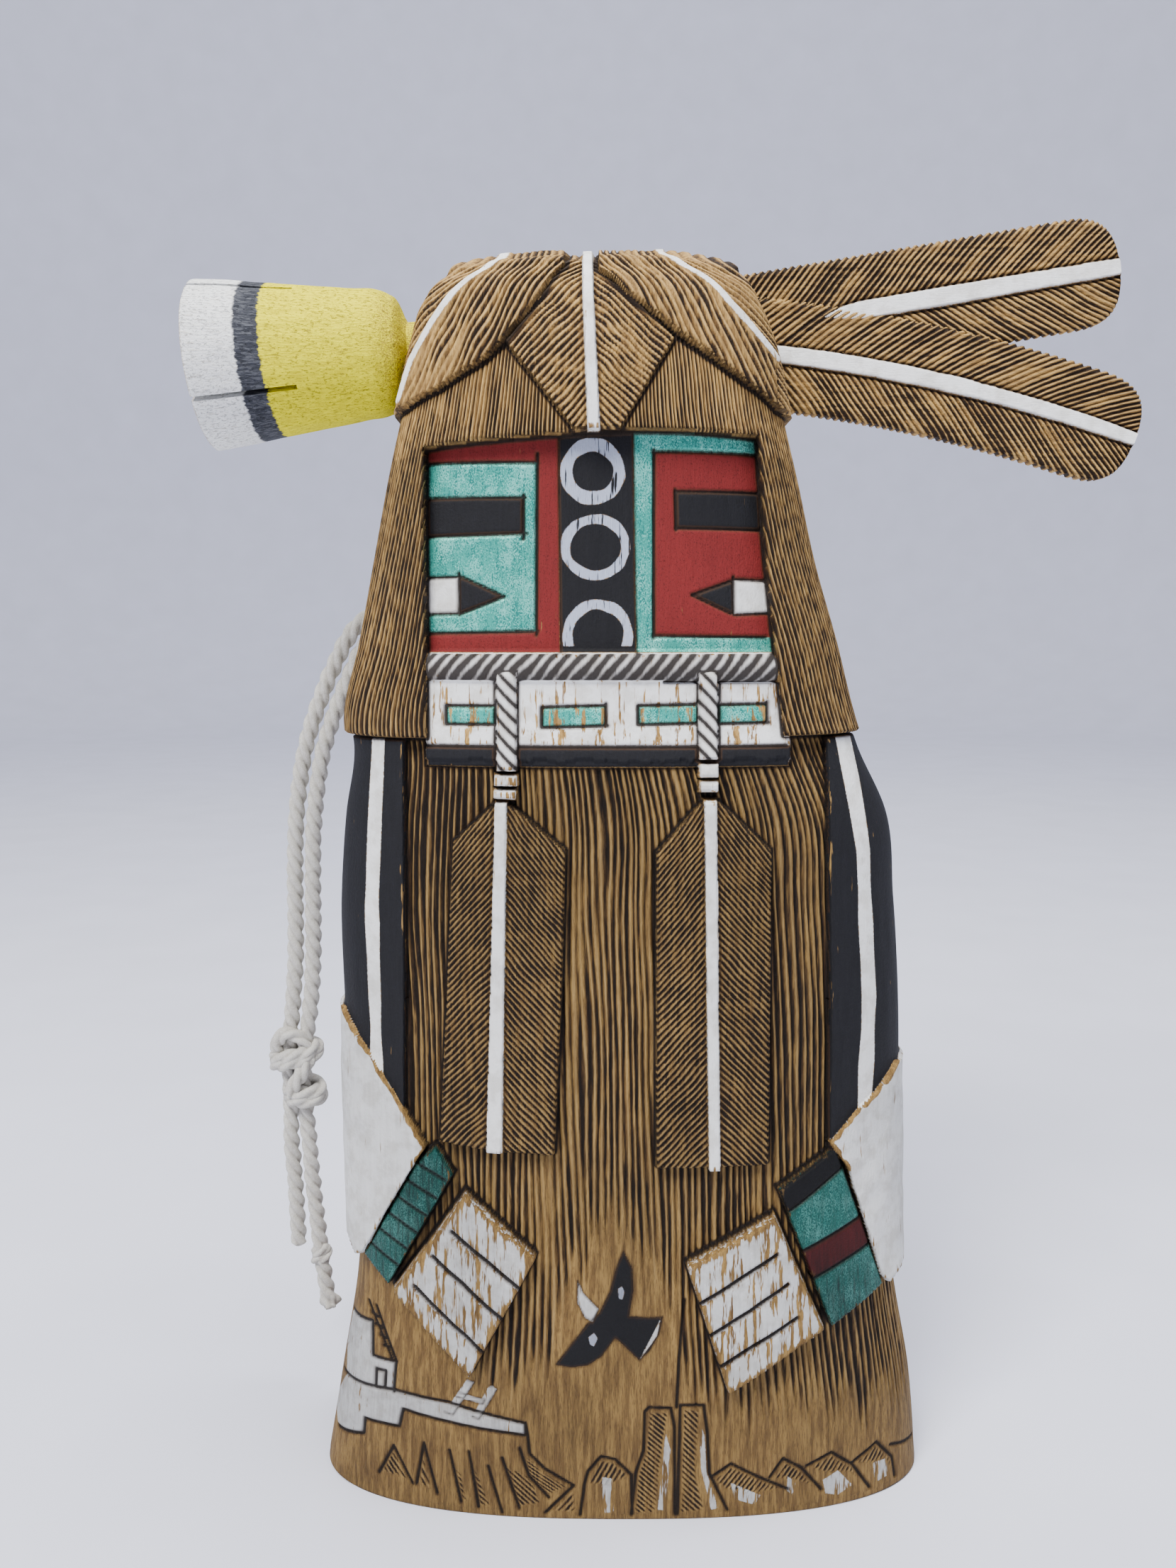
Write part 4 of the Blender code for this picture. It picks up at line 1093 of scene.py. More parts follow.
    def carve_layers(self) -> None:
        """Raises each layer inside its outline and notes which one is on top at each point."""
        shape = self.base.shape[:2]
        self.height = np.zeros(shape)
        self.owner = np.full(shape, "block", dtype="U24")
        self.depth: dict[str, np.ndarray] = {}
        for layer in self.layers():
            x, y, z = np.moveaxis(self.place(layer.raised), -1, 0)
            back_y = self.block.side_y + layer.wraps * self.block.side_depth
            depth = np.minimum(depth_inside(x, z, layer.outline), back_y - y)
            self.depth[layer.name] = depth.astype(np.float32)
            raised = layer.raised * eased(-0.30, 0.22, depth)
            higher = raised > self.height
            self.height = np.where(higher, raised, self.height)
            self.owner[higher & (depth > -0.12)] = layer.name
        self.x, self.y, self.z = np.moveaxis(self.place(self.height), -1, 0)

    def on(self, *names: str) -> np.ndarray:
        """Where one of these layers is on top."""
        return np.isin(self.owner, names)

    def groove(
        self, where: np.ndarray, turn: np.ndarray, deep: float, burnt: np.ndarray | float
    ) -> None:
        """Cuts parallel grooves in part of the surface.

        Args:
            where: The part.
            turn: How many grooves lie before each point; a groove runs along each whole number.
            deep: The grooves' depth in millimetres.
            burnt: How strongly they are burnt, from 0 to 1.
        """
        share = np.broadcast_to(np.asarray(burnt, float), self.x.shape)
        beside = np.abs(turn - np.floor(turn) - 0.5) * 2.0
        sunk = -deep * eased(0.40, 1.0, beside) * np.minimum(share * 1.3, 1.0)
        self.detail = np.where(where, sunk, self.detail)
        self.turn = np.where(where, turn, self.turn)
        self.burnt = np.where(where, share, self.burnt)

    def cut_grooves(self) -> None:
        """The burnt lines of the robe and hair, and the barbs of the feathers."""
        x, z, s = self.x, self.z, self.travel
        self.detail = np.zeros(x.shape)
        self.turn = np.full(x.shape, 0.5)
        self.burnt = np.zeros(x.shape)
        wave = waver(s * 0.22, z * 0.022, 11) * 0.55 + waver(s * 0.9, z * 0.07, 12) * 0.16
        patchy = 0.95 + 0.42 * waver(s * 0.95, z * 0.035, 13) + 0.32 * waver(s * 0.16, z * 0.03, 22)
        ends = np.interp(x, *zip(*ROBE_ENDS)) + waver(s * 1.1, s * 0.0, 14) * 5.0
        robe = eased(-4.0, 7.0, z - ends) * eased(150.0, 146.0, z) * patchy
        front = self.on_back < 0.5
        self.groove(self.on("block") & front & (z < 150.0), s / self.robe_pitch + wave,
                    self.robe_groove, np.clip(robe * 1.35, 0.0, 1.9))
        flare = 1.0 + 0.0016 * (205.0 - np.minimum(z, 205.0))
        self.groove(self.on("hair") & front, s / (self.hair_pitch * flare) + wave * 0.8,
                    self.hair_groove, np.clip(patchy + 0.35 - 0.25 * eased(200.0, 206.0, z), 0.0, 1.8))
        self.cut_barbs()
        for outline, slope, pitch in HATCHED:
            depth = depth_inside(x, z, outline)
            self.groove(self.on("block") & (depth > 0.0) & (self.y < 2.0),
                        (x - z / slope) / (pitch * 1.15), self.hatch_groove, eased(0.0, 0.7, depth))

    def cut_barbs(self) -> None:
        """The slanting barbs of the five carved feathers."""
        x, z = self.x, self.z
        share = np.clip((z - 70.0) / 66.0, 0.0, 1.0)
        slope = 1.05 + 0.5 * share ** 3
        burnt = np.clip(1.25 + 0.3 * waver(x * 0.15, z * 0.7, 16), 0.0, 1.7)
        for name, quill in zip(both("chest_feather"), (LEFT_CHEST_QUILL, RIGHT_CHEST_QUILL)):
            low, high = ((quill[i][0] + quill[j][0]) / 2 for i, j in ((1, 2), (0, 3)))
            away = np.abs(x - (low * (1 - share) + high * share))
            turn = (z + away * slope) / self.chest_barb_pitch + waver(x * 0.25, z * 0.2, 15) * 0.28
            self.groove(self.on(name), turn, self.chest_barb_groove, burnt)
        away = np.abs(x - np.interp(z, [201.4, 225.0, 262.0], [-6.0, -7.0, -7.3]))
        turn = (z + away * 0.98) / self.centre_barb_pitch + waver(x * 0.3, z * 0.3, 17) * 0.30
        self.groove(self.on("centre_feather"), turn, self.centre_barb_groove,
                    np.clip(1.05 + 0.5 * waver(x * 0.4, z * 0.6, 18), 0, 1.6))
        for name, line, side in zip(both("side_feather"), (LEFT_SIDE_QUILL, RIGHT_SIDE_QUILL), (1.0, -1.0)):
            across, up = np.array(line[::-1]).T
            outside = (x - np.interp(z, up, across)) * side < 0
            steep = (x * side * 0.88 - z * 0.47) / self.side_barb_pitch
            shallow = (x * side * 0.60 - z * 0.80) / self.side_barb_pitch
            turn = np.where(outside, shallow, steep) + waver(x * 0.3, z * 0.12, 19) * 0.35
            burnt = np.clip(0.95 + 0.75 * waver(turn * 0.8, z * 0.12, 20) + outside * 0.2, 0.0, 1.7)
            self.groove(self.on(name) & (self.on_back < 0.5), turn, self.side_barb_groove, burnt)

    def cut_cords(self) -> None:
        """The slanting cuts of the rope collar and its two ties, and the collar's round section."""
        x, z = self.x, self.z
        rope = self.on("rope")
        above = z - self.rope_middle
        turn = (x - above * 0.86) / self.rope_pitch + waver(x * 0.3, z * 0.1, 21) * 0.12
        self.groove(rope, turn, self.rope_groove, 0.0)
        crest = np.clip(1.0 - (above / self.rope_half) ** 2, 0.0, 1.0)
        self.detail = np.where(rope, self.detail - 1.1 * (1.0 - np.sqrt(crest)), self.detail)
        thin = 0.42 - 0.16 * eased(162.4, 159.2, z)
        beside = np.abs(turn - np.round(turn)) * self.rope_pitch * thin
        self.cord_turns = np.where(rope, beside, 9.0)
        for name, middle in zip(both("tie"), self.tie_middles):
            tie = self.on(name)
            turn = (z + (x - middle) * 1.05) / self.tie_pitch + 0.3
            self.groove(tie, turn, self.tie_groove, 0.0)
            crest = np.clip(1.0 - ((x - middle) / self.tie_half) ** 2, 0.0, 1.0)
            self.detail = np.where(tie, self.detail - 0.9 * (1.0 - np.sqrt(crest)), self.detail)
            beside = np.abs(turn - np.round(turn)) * self.tie_pitch * 0.66
            self.cord_turns = np.where(tie, beside, self.cord_turns)

    def knife_cuts(self) -> None:
        """The V-shaped cuts that bound the painted panels, the fingers and the country below."""
        x, z = self.x, self.z
        self.cut = np.full(x.shape, 2.0)
        front = self.y < self.block.side_y + 2.0
        face = self.on("block") & (z > 160.0) & front
        base = self.on("block") & (z < 60.0) & front
        sash = self.on("sash")
        jobs: list[tuple[np.ndarray, tuple[Outline, ...], float, float]] = [
            (face, tuple(trimmed(line, 0.4) for line in FACE_CUTS), 0.06, 0.42),
            (face, COLUMN_CUTS, 0.20, 0.30), (base, BASE_CUTS, 0.03, 0.32),
            (sash, (((-36.3, 146.9), (29.0, 146.9)),), 0.0, 0.40),
            (self.on("left_hand"), LEFT_FINGER_LINES, -0.05, 0.55),
            (self.on("right_hand"), RIGHT_FINGER_LINES, -0.05, 0.55),
            (self.on("right_wristband"), RIGHT_BAND_LINES, 0.05, 0.40),
            (base, (BIRD + BIRD[:1], BIRD_HEAD + BIRD_HEAD[:1]), 0.22, 0.18),
            (base, LADDER_RAILS, 0.25, 0.12),
        ]
        boxes = []
        for left_low, right_low, right_high, left_high in SASH_BOXES:
            boxes += [(left_low, (right_low[0] + 0.3, right_low[1])), (left_low, left_high),
                      (left_high, right_high), (right_low, (right_high[0], right_high[1] + 0.3))]
        jobs.append((sash, tuple(boxes), 0.0, 0.40))
        top, low = np.array([-35.6, 70.2]), np.array([-47.8, 45.9])
        reach = np.array([0.895, -0.445]) * 3.6
        middles = [top + (low - top) * share for share in (0.10, 0.25, 0.40, 0.55, 0.70, 0.85)]
        marks = tuple((tuple(middle - reach), tuple(middle + reach)) for middle in middles)
        jobs.append((self.on("left_wristband"), marks, 0.12, 0.25))
        for where, lines, thinner, deep in jobs:
            px, pz = x[where], z[where]
            near = np.full(px.shape, 2.0)
            for line in lines:
                near = np.minimum(near, distance_from(px, pz, line))
            near = near + thinner
            self.cut[where] = np.minimum(self.cut[where], near)
            self.detail[where] -= deep * eased(0.55, 0.05, near)
        self.cut = np.minimum(self.cut, self.cord_turns + 0.02)

    def burn_edges(self) -> None:
        """The dark burnt line along the foot of the feathers, arms, hands and hair; along the side feathers
        it is drawn wider, partly as painted shadow under their edges.
        """
        raised = {layer.name: layer.raised for layer in self.layers()}
        # The side feathers' line is wider: partly burnt line, partly painted shadow under their lower edges.
        for names, width in (
            (both("chest_feather"), 0.10), (both("side_feather"), -0.2), (both("wristband"), 0.05),
            ((*both("hand"), *both("arm"), *both("tie")), 0.1), (("hair", "centre_feather"), 0.05),
            (("sash",), 0.15), ((*both("chest_quill"), "centre_quill"), 0.3),
        ):
            for name in names:
                foot = np.abs(self.depth[name] + 0.30) + width
                visible = (self.depth[name] < 0.05) & (self.height < raised[name])
                self.cut = np.where(visible, np.minimum(self.cut, foot), self.cut)

    def darken_and_shade(self) -> None:
        """How far each part is darkened: partly the dark tone of burning, handling and dust, partly painted
        shade that grows darker towards the foot of the robe.
        """
        self.soot_and_shade = np.full(self.x.shape, 0.14)
        robe = self.on("block") & (self.z < 150.0) & (self.on_back < 0.5)
        # Painted shade: the robe grows darker towards its foot.
        self.soot_and_shade[robe] = 0.52 + 0.06 * eased(40.0, 15.0, self.z[robe])
        for names, amount in (
            (both("chest_feather"), 0.54), (both("wristband"), 0.84), (both("hand"), 0.48),
            ((*both("sleeve"), "hair"), 0.34), ((*both("side_feather"), "centre_feather"), 0.02),
            (("sash", "rope", "centre_quill"), 0.0),
        ):
            self.soot_and_shade[self.on(*names)] = amount
        self.soot_and_shade[self.on("hair") & (self.z > 198.0)] = 0.04
        self.soot_and_shade = np.clip(self.soot_and_shade + 0.07 * waver(self.travel * 0.11, self.z * 0.05, 35), 0.0, 1.0)

    # The paints

    def brush(self, paint: Paint | None, depth: np.ndarray, where: np.ndarray | None = None) -> None:
        """Lays one paint over whatever is there, or scrapes back to wood.

        Args:
            paint: The paint, or None for bare wood.
            depth: How far each point is inside the painted shape.
            where: The part of the surface that the brush may reach.
        """
        if where is not None:
            depth = np.where(where, depth, -3.0)
        for other in Paint:
            if other is paint:
                self.paints[other] = np.maximum(self.paints[other], depth)
            else:
                self.paints[other] = np.minimum(self.paints[other], -depth)

    def shape_depth(self, outline: Outline) -> np.ndarray:
        """How far each point of the carved surface is inside an outline."""
        return depth_inside(self.x, self.z, outline)

    def paint_face(self) -> None:
        """Red and turquoise panels, the black bars, blocks and the ringed column."""
        face = self.on("block") & (self.z > 158.0) & (self.y < self.block.side_y)
        shapes: list[tuple[Paint, Outline]] = [
            (Paint.RED, ((-37, 160), (-12.0, 160), (-12.1, 203), (-37, 203))),
            (Paint.TURQUOISE, ((-37, 167.0), (-16.2, 167.3), (-15.9, 196.7), (-37, 197.1))),
            (Paint.BLACK, ((-37, 184.1), (-18.4, 184.4), (-18.4, 190.6), (-37, 190.9))),
            (Paint.WHITE, ((-37, 170.4), (-30.2, 170.4), (-30.2, 176.9), (-37, 176.8))),
            (Paint.BLACK, ((-30.2, 177.1), (-22.1, 173.4), (-30.2, 170.4))),
            (Paint.BLACK, ((-12.0, 160), (1.6, 160), (0.9, 203), (-12.2, 203))),
            (Paint.TURQUOISE, ((1.7, 160), (30, 160), (30, 203), (0.9, 203))),
            (Paint.RED, ((4.7, 166.4), (30, 166.2), (30, 198.6), (4.6, 198.5))),
            (Paint.BLACK, ((8.5, 185.4), (30, 185.3), (30, 191.9), (8.3, 191.7))),
            (Paint.WHITE, ((19.2, 170.4), (30, 170.5), (30, 176.3), (19.1, 176.4))),
            (Paint.BLACK, ((19.1, 176.3), (11.8, 173.7), (19.1, 170.4))),
        ]
        for paint, outline in shapes:
            self.brush(paint, self.shape_depth(outline), face)
        ring_brush = waver(self.x * 0.5, self.z * 0.5, 31) * 0.18
        for middle, outer, inner, low in (
            ((-6.2, 195.0), (5.6, 5.7), (3.7, 3.4), 0.0), ((-5.7, 182.0), (6.1, 5.7), (4.5, 4.0), 0.0),
            ((-5.3, 166.6), (6.2, 6.3), (4.6, 4.5), 164.7),
        ):
            dx, dz = self.x - middle[0], self.z - middle[1]
            outside = np.hypot(dx / outer[0], dz / outer[1])
            within = np.hypot(dx / inner[0], dz / inner[1])
            depth = np.minimum((1.0 - outside) * outer[0], (within - 1.0) * inner[0]) + ring_brush
            if low:
                depth = np.minimum(depth, self.z - low)
            self.brush(Paint.RING, depth, face)
        self.wear[face] = 0.12

    def paint_dress(self) -> None:
        """Hair and feathers left bare, and the collar, sash, arms, sleeves, bands and hands."""
        x, z, depth = self.x, self.z, self.depth
        self.brush(Paint.WHITE, depth["sash"])
        ragged = waver(x * 0.8, x * 0.0, 32) * 0.4
        self.brush(Paint.BLACK, np.minimum(depth["sash"], 146.9 - z), z > 142.0)
        self.detail -= np.where(self.on("sash") & (z < 144.4 + ragged), 0.5, 0.0)
        for box in SASH_BOXES:
            self.brush(Paint.TURQUOISE, self.shape_depth(box), self.on("sash"))
        self.brush(Paint.WHITE, depth["rope"])
        uneven = waver(z * 0.15, z * 0.0, 33) * 0.15
        for arm, stripe in zip(both("arm"), ARM_STRIPES):
            self.brush(Paint.BLACK, depth[arm] + 0.2)
            self.brush(Paint.WHITE, self.shape_depth(stripe) + uneven, self.on(arm))
        for side in ("left", "right"):
            self.brush(None, depth[f"{side}_chest_feather"])
            self.brush(Paint.WHITE, depth[f"{side}_chest_quill"] - 0.05)
            self.brush(Paint.TURQUOISE, depth[f"{side}_wristband"])
        (ax, az), (bx, bz) = RIGHT_BAND_LINES[0]
        along = np.array([bx - ax, bz - az]) / math.hypot(bx - ax, bz - az)
        above = (z - az) * along[0] - (x - ax) * along[1]
        self.brush(Paint.BLACK, np.minimum(depth["right_wristband"], above))
        (ax, az), (bx, bz) = RIGHT_BAND_LINES[1]
        (cx, cz), (dx, dz) = RIGHT_BAND_LINES[2]
        band = ((ax - 2, az - 0.8), (bx + 2, bz + 0.8), (dx + 2, dz + 0.8), (cx - 2, cz - 0.8))
        self.brush(Paint.RED, self.shape_depth(band), self.on("right_wristband"))
        beads = [f"bead_{number}" for number in range(len(TIE_BEADS))]
        for name in (*both("sleeve"), *both("tie"), *both("hand"), *beads):
            self.brush(Paint.WHITE, depth[name])
        self.brush(None, depth["hair"] + 0.15)
        self.brush(None, depth["centre_feather"] + 0.1)
        self.brush(Paint.WHITE, depth["centre_quill"])
        for name in both("side_feather"):
            self.brush(None, depth[name] + 0.1)
        halfway = self.block.side_y + self.block.side_depth * 0.5
        for name, line in zip(both("side_feather"), (LEFT_SIDE_QUILL, RIGHT_SIDE_QUILL)):
            near = self.quill_half - distance_from(x, z, line)
            self.brush(Paint.WHITE, near, self.on(name) & (self.y < halfway))
            cover = eased(-0.5, 0.0, near) * self.on(name)
            self.detail = self.detail * (1.0 - cover) + 0.25 * cover
            self.burnt = self.burnt * (1.0 - cover)
        for names, amount in (
            (both("side_feather"), 0.36), (both("hand"), 0.68), (("sash",), 0.60),
            (both("sleeve"), 0.34), (both("arm"), 0.20), (("rope", *both("tie")), 0.25),
            (both("wristband"), 0.18), ((*both("chest_quill"), "centre_quill"), 0.22),
        ):
            self.wear[self.on(*names)] = amount

        self.wear[self.on("sash") & (z < 147.0)] = 0.10
        torn = waver(x * 0.9, z * 0.9, 34) * 0.45
        for name, outline in zip(both("sleeve"), (LEFT_SLEEVE, RIGHT_SLEEVE)):
            self.brush(None, 0.55 - distance_from(x, z, outline[1:6]) + torn, self.on(name))

    def paint_country(self) -> None:
        """The bird, village, ladder and white lights on the rocks around the base."""
        base = self.on("block") & (self.z < 62.0) & (self.y < self.block.side_y + 1.0)
        eye, patch, claw = BIRD_MARKS
        jobs = [(Paint.WHITE, shape) for shape in VILLAGE + SNOWY + LADDER_RAILS]
        jobs += [(Paint.BLACK, BIRD), (Paint.WHITE, BIRD_HEAD)]
        jobs += [(Paint.RING, eye), (Paint.RING, patch), (Paint.WHITE, claw)]
        for paint, outline in jobs:
            self.brush(paint, self.shape_depth(outline), base)
        self.wear[base] = 0.45
        self.wear[base & (self.shape_depth(BIRD) > -1.0)] = 0.08
        for outline in SNOWY:
            self.wear[base & (self.shape_depth(outline) > -1.0)] = 0.75

    def tool_marks(self) -> None:
        """Low facets from the knife on the bare wood, and saw marks on the back and foot."""
        x, z, s = self.x, self.z, self.travel
        self.detail += 0.10 * waver(s * 0.12, z * 0.05, 41) + 0.05 * waver(s * 0.5, z * 0.10, 42)
        hands = self.on(*both("hand"), *both("sleeve"))
        self.detail += np.where(hands, 0.16 * waver(s * 0.25, z * 0.25, 43), 0.0)
        edges = (self.z < 1.5) | (self.on_back > 0.5)
        self.detail = np.where(edges, np.minimum(self.detail, 0.0), self.detail)

    def soften(self, values: np.ndarray, reach: int) -> np.ndarray:
        """The mean of a number over a square of points around each point.

        Args:
            values: The number at each point.
            reach: How many points away the square reaches.

        Returns:
            The mean.
        """
        steps, rows = range(-reach, reach + 1), np.arange(len(values))
        spread = sum(np.roll(values, step, axis=1) for step in steps) / len(steps)
        return sum(spread[np.clip(rows + step, 0, rows[-1])] for step in steps) / len(steps)

    def shape(self) -> None:
        """Carves and paints the whole sheet of points."""
        self.lay_out()
        self.carve_layers()
        self.cut_grooves()
        self.cut_cords()
        self.knife_cuts()
        self.burn_edges()
        self.paints = {paint: np.full(self.x.shape, -3.0) for paint in Paint}
        self.wear = np.full(self.x.shape, 0.3)
        self.darken_and_shade()
        self.paint_face()
        self.paint_dress()
        self.paint_country()
        self.tool_marks()
        total = self.height + self.detail
        mean = self.soften(total, 3)
        # How far each point lies below or above its neighbours: the hollows are darkened as painted shade,
        # and the ridges wear their paint.
        self.hollow_shade = np.clip((mean - total) / 0.9, 0.0, 1.0)
        self.ridge = np.clip((total - mean) / 0.7, 0.0, 1.0)
        self.points = self.place(self.height) + self.detail[..., None] * self.out
        self.bare = self.place(0.0)
        self.round_crown()
        self.sink_holes()
        self.normals = tube_normals(self.points)

    def round_crown(self) -> None:
        """Lets the crown's top fall away towards the front."""
        y, z = self.points[..., 1], self.points[..., 2]
        self.points[..., 2] = z - self.crown_fall * eased(2.0, -9.0, y) * eased(225.0, 236.5, z)

    def sink_holes(self) -> None:
        """The two round cord holes in the flat back."""
        x, z = self.points[..., 0], self.points[..., 2]
        back = self.on_back > 0.5
        for up in self.hole_heights:
            near = np.hypot(x - self.hole_across, z - up)
            self.points[..., 1] -= self.hole_depth * eased(2.5, 1.7, near) * back
            rim = np.maximum(near - self.hole_radius, 0.0)
            self.cut = np.where(back, np.minimum(self.cut, rim), self.cut)

    def keep(self, start: int, stop: int) -> dict[str, np.ndarray]:
        """The numbers that a band keeps for its finish."""
        kept = {
            **self.paints, Kept.CUT: self.cut, Kept.GROOVE: self.turn, Kept.BURNT: self.burnt,
            Kept.WEAR: self.wear, Kept.SOOT_AND_SHADE: self.soot_and_shade, Kept.HOLLOW_SHADE: self.hollow_shade, Kept.RIDGE: self.ridge,
        }
        return {kind.value: values[start:stop].ravel() for kind, values in kept.items()}

    def make_band(self, name: str, start: int, stop: int, finish: bpy.types.Material) -> bpy.types.Object:
        """Makes the rows from start to stop as one closed piece.

        Args:
            name: The piece's name.
            start: Its first row.
            stop: The row after its last.
            finish: Its material.

        Returns:
            The piece.
        """
        points = self.points[start:stop]
        rows, columns = points.shape[:2]
        flat = points.reshape(-1, 3)
        kept = self.keep(start, stop)
        normals = self.normals[start:stop].reshape(-1, 3)
        faces = strip_faces(rows, columns).tolist()
        for row, upwards in ((0, False), (rows - 1, True)):
            centre = points[row].mean(axis=0, keepdims=True)
            inner = self.bare[start + row] - self.out[start + row] * 1.5
            first = len(flat)
            flat = np.concatenate([flat, points[row], inner, centre])
            facing = np.array([[0.0, 0.0, 1.0 if upwards else -1.0]])
            added = 2 * columns + 1
            normals = np.concatenate([normals, np.repeat(facing, added, axis=0)])
            for key, values in kept.items():
                fill = {Kept.CUT.value: 2.0}.get(key, -3.0 if key.startswith("paint_") else 0.0)
                kept[key] = np.concatenate([values, np.full(added, fill)])
            rim = strip_faces(2, columns) + first
            faces += (rim if upwards else rim[:, ::-1]).tolist()
            faces += fan_faces(first + columns, columns, first + 2 * columns, upwards)
        made = piece_from(name, flat, faces, kept, normals)
        made.data.materials.append(finish)
        return made

    def build(self) -> list[bpy.types.Object]:
        """Makes the carved body in its bands, from the base up."""
        self.shape()
        finish = CarvedWoodFinish("carved_wood").make()
        count = len(self.points)
        edges = np.linspace(0, count - 1, len(self.bands) + 1).astype(int)
        made = []
        for name, start, stop in zip(self.bands, edges, edges[1:]):
            band = self.make_band(name, start, stop + 1, finish)
            made.append(settle(band, "carved_wood", "carved_body"))
        return made


# The turned squash blossom


@dataclass(frozen=True)
class BlossomFinish:
    """Yellow paint with a brushed grey ring and a white rim, over coarse wood."""

    root: tuple[float, float, float]
    axis: tuple[float, float, float]
    length: float
    name: str = "painted_blossom"
    white: Colour = rgb(236, 237, 234)
    white_worn: Colour = rgb(196, 190, 178)
    grey: Colour = rgb(56, 58, 64)
    grey_worn: Colour = rgb(88, 90, 95)
    yellow: Colour = rgb(238, 228, 0)
    yellow_deep: Colour = rgb(202, 188, 0)
    bare: Colour = rgb(146, 116, 62)

    def make(self) -> bpy.types.Material:
        """Makes the material."""
        bench = Bench(self.name)
        own = bench.place((1.0, 1.0, 1.0))
        moved = bench.node("ShaderNodeVectorMath", {"operation": "SUBTRACT"},
                           {"Vector": own, "Vector_001": self.root}).outputs["Vector"]
        along = Field(bench, bench.node("ShaderNodeVectorMath", {"operation": "DOT_PRODUCT"},
                                        {"Vector": moved, "Vector_001": self.axis}).outputs["Value"])
        brush = bench.noise((0.35, 1.3, 1.3), 3.0, 0.6)
        streaks = bench.noise((0.28, 2.6, 2.6), 3.0, 0.65)
        flakes = bench.noise((1.3, 3.0, 3.0), 3.0, 0.7)
        stipple = bench.noise((4.0, 4.0, 4.0), 2.0, 0.6)
        share = along / self.length + (brush - 0.5) * 0.045
        yellow = bench.mix(streaks.eased(0.58, 0.40) * 0.55, self.yellow, self.yellow_deep)
        yellow = bench.mix(flakes.eased(0.40, 0.33) * 0.55, yellow, self.bare)
        neck = share.eased(0.20, 0.02) * stipple.eased(0.56, 0.42)
        yellow = bench.mix(neck * 0.7, yellow, self.bare)
        grey = bench.mix(streaks.eased(0.44, 0.62), self.grey, self.grey_worn)
        white = bench.mix(streaks.eased(0.56, 0.66) * 0.6, self.white, self.white_worn)
        colour = bench.mix(share.eased(0.640, 0.652), yellow, grey)
        colour = bench.mix(share.eased(0.752, 0.765), colour, white)
        edge = (along / self.length).eased(0.988, 0.998) * stipple.eased(0.42, 0.55)
        colour = bench.mix(edge * 0.7, colour, self.bare)
        height = streaks * 0.5 + flakes.eased(0.30, 0.46) * 0.35 + stipple * 0.15
        return bench.finish(colour, 0.8, height, 0.6, Specular_IOR_Level=0.12)


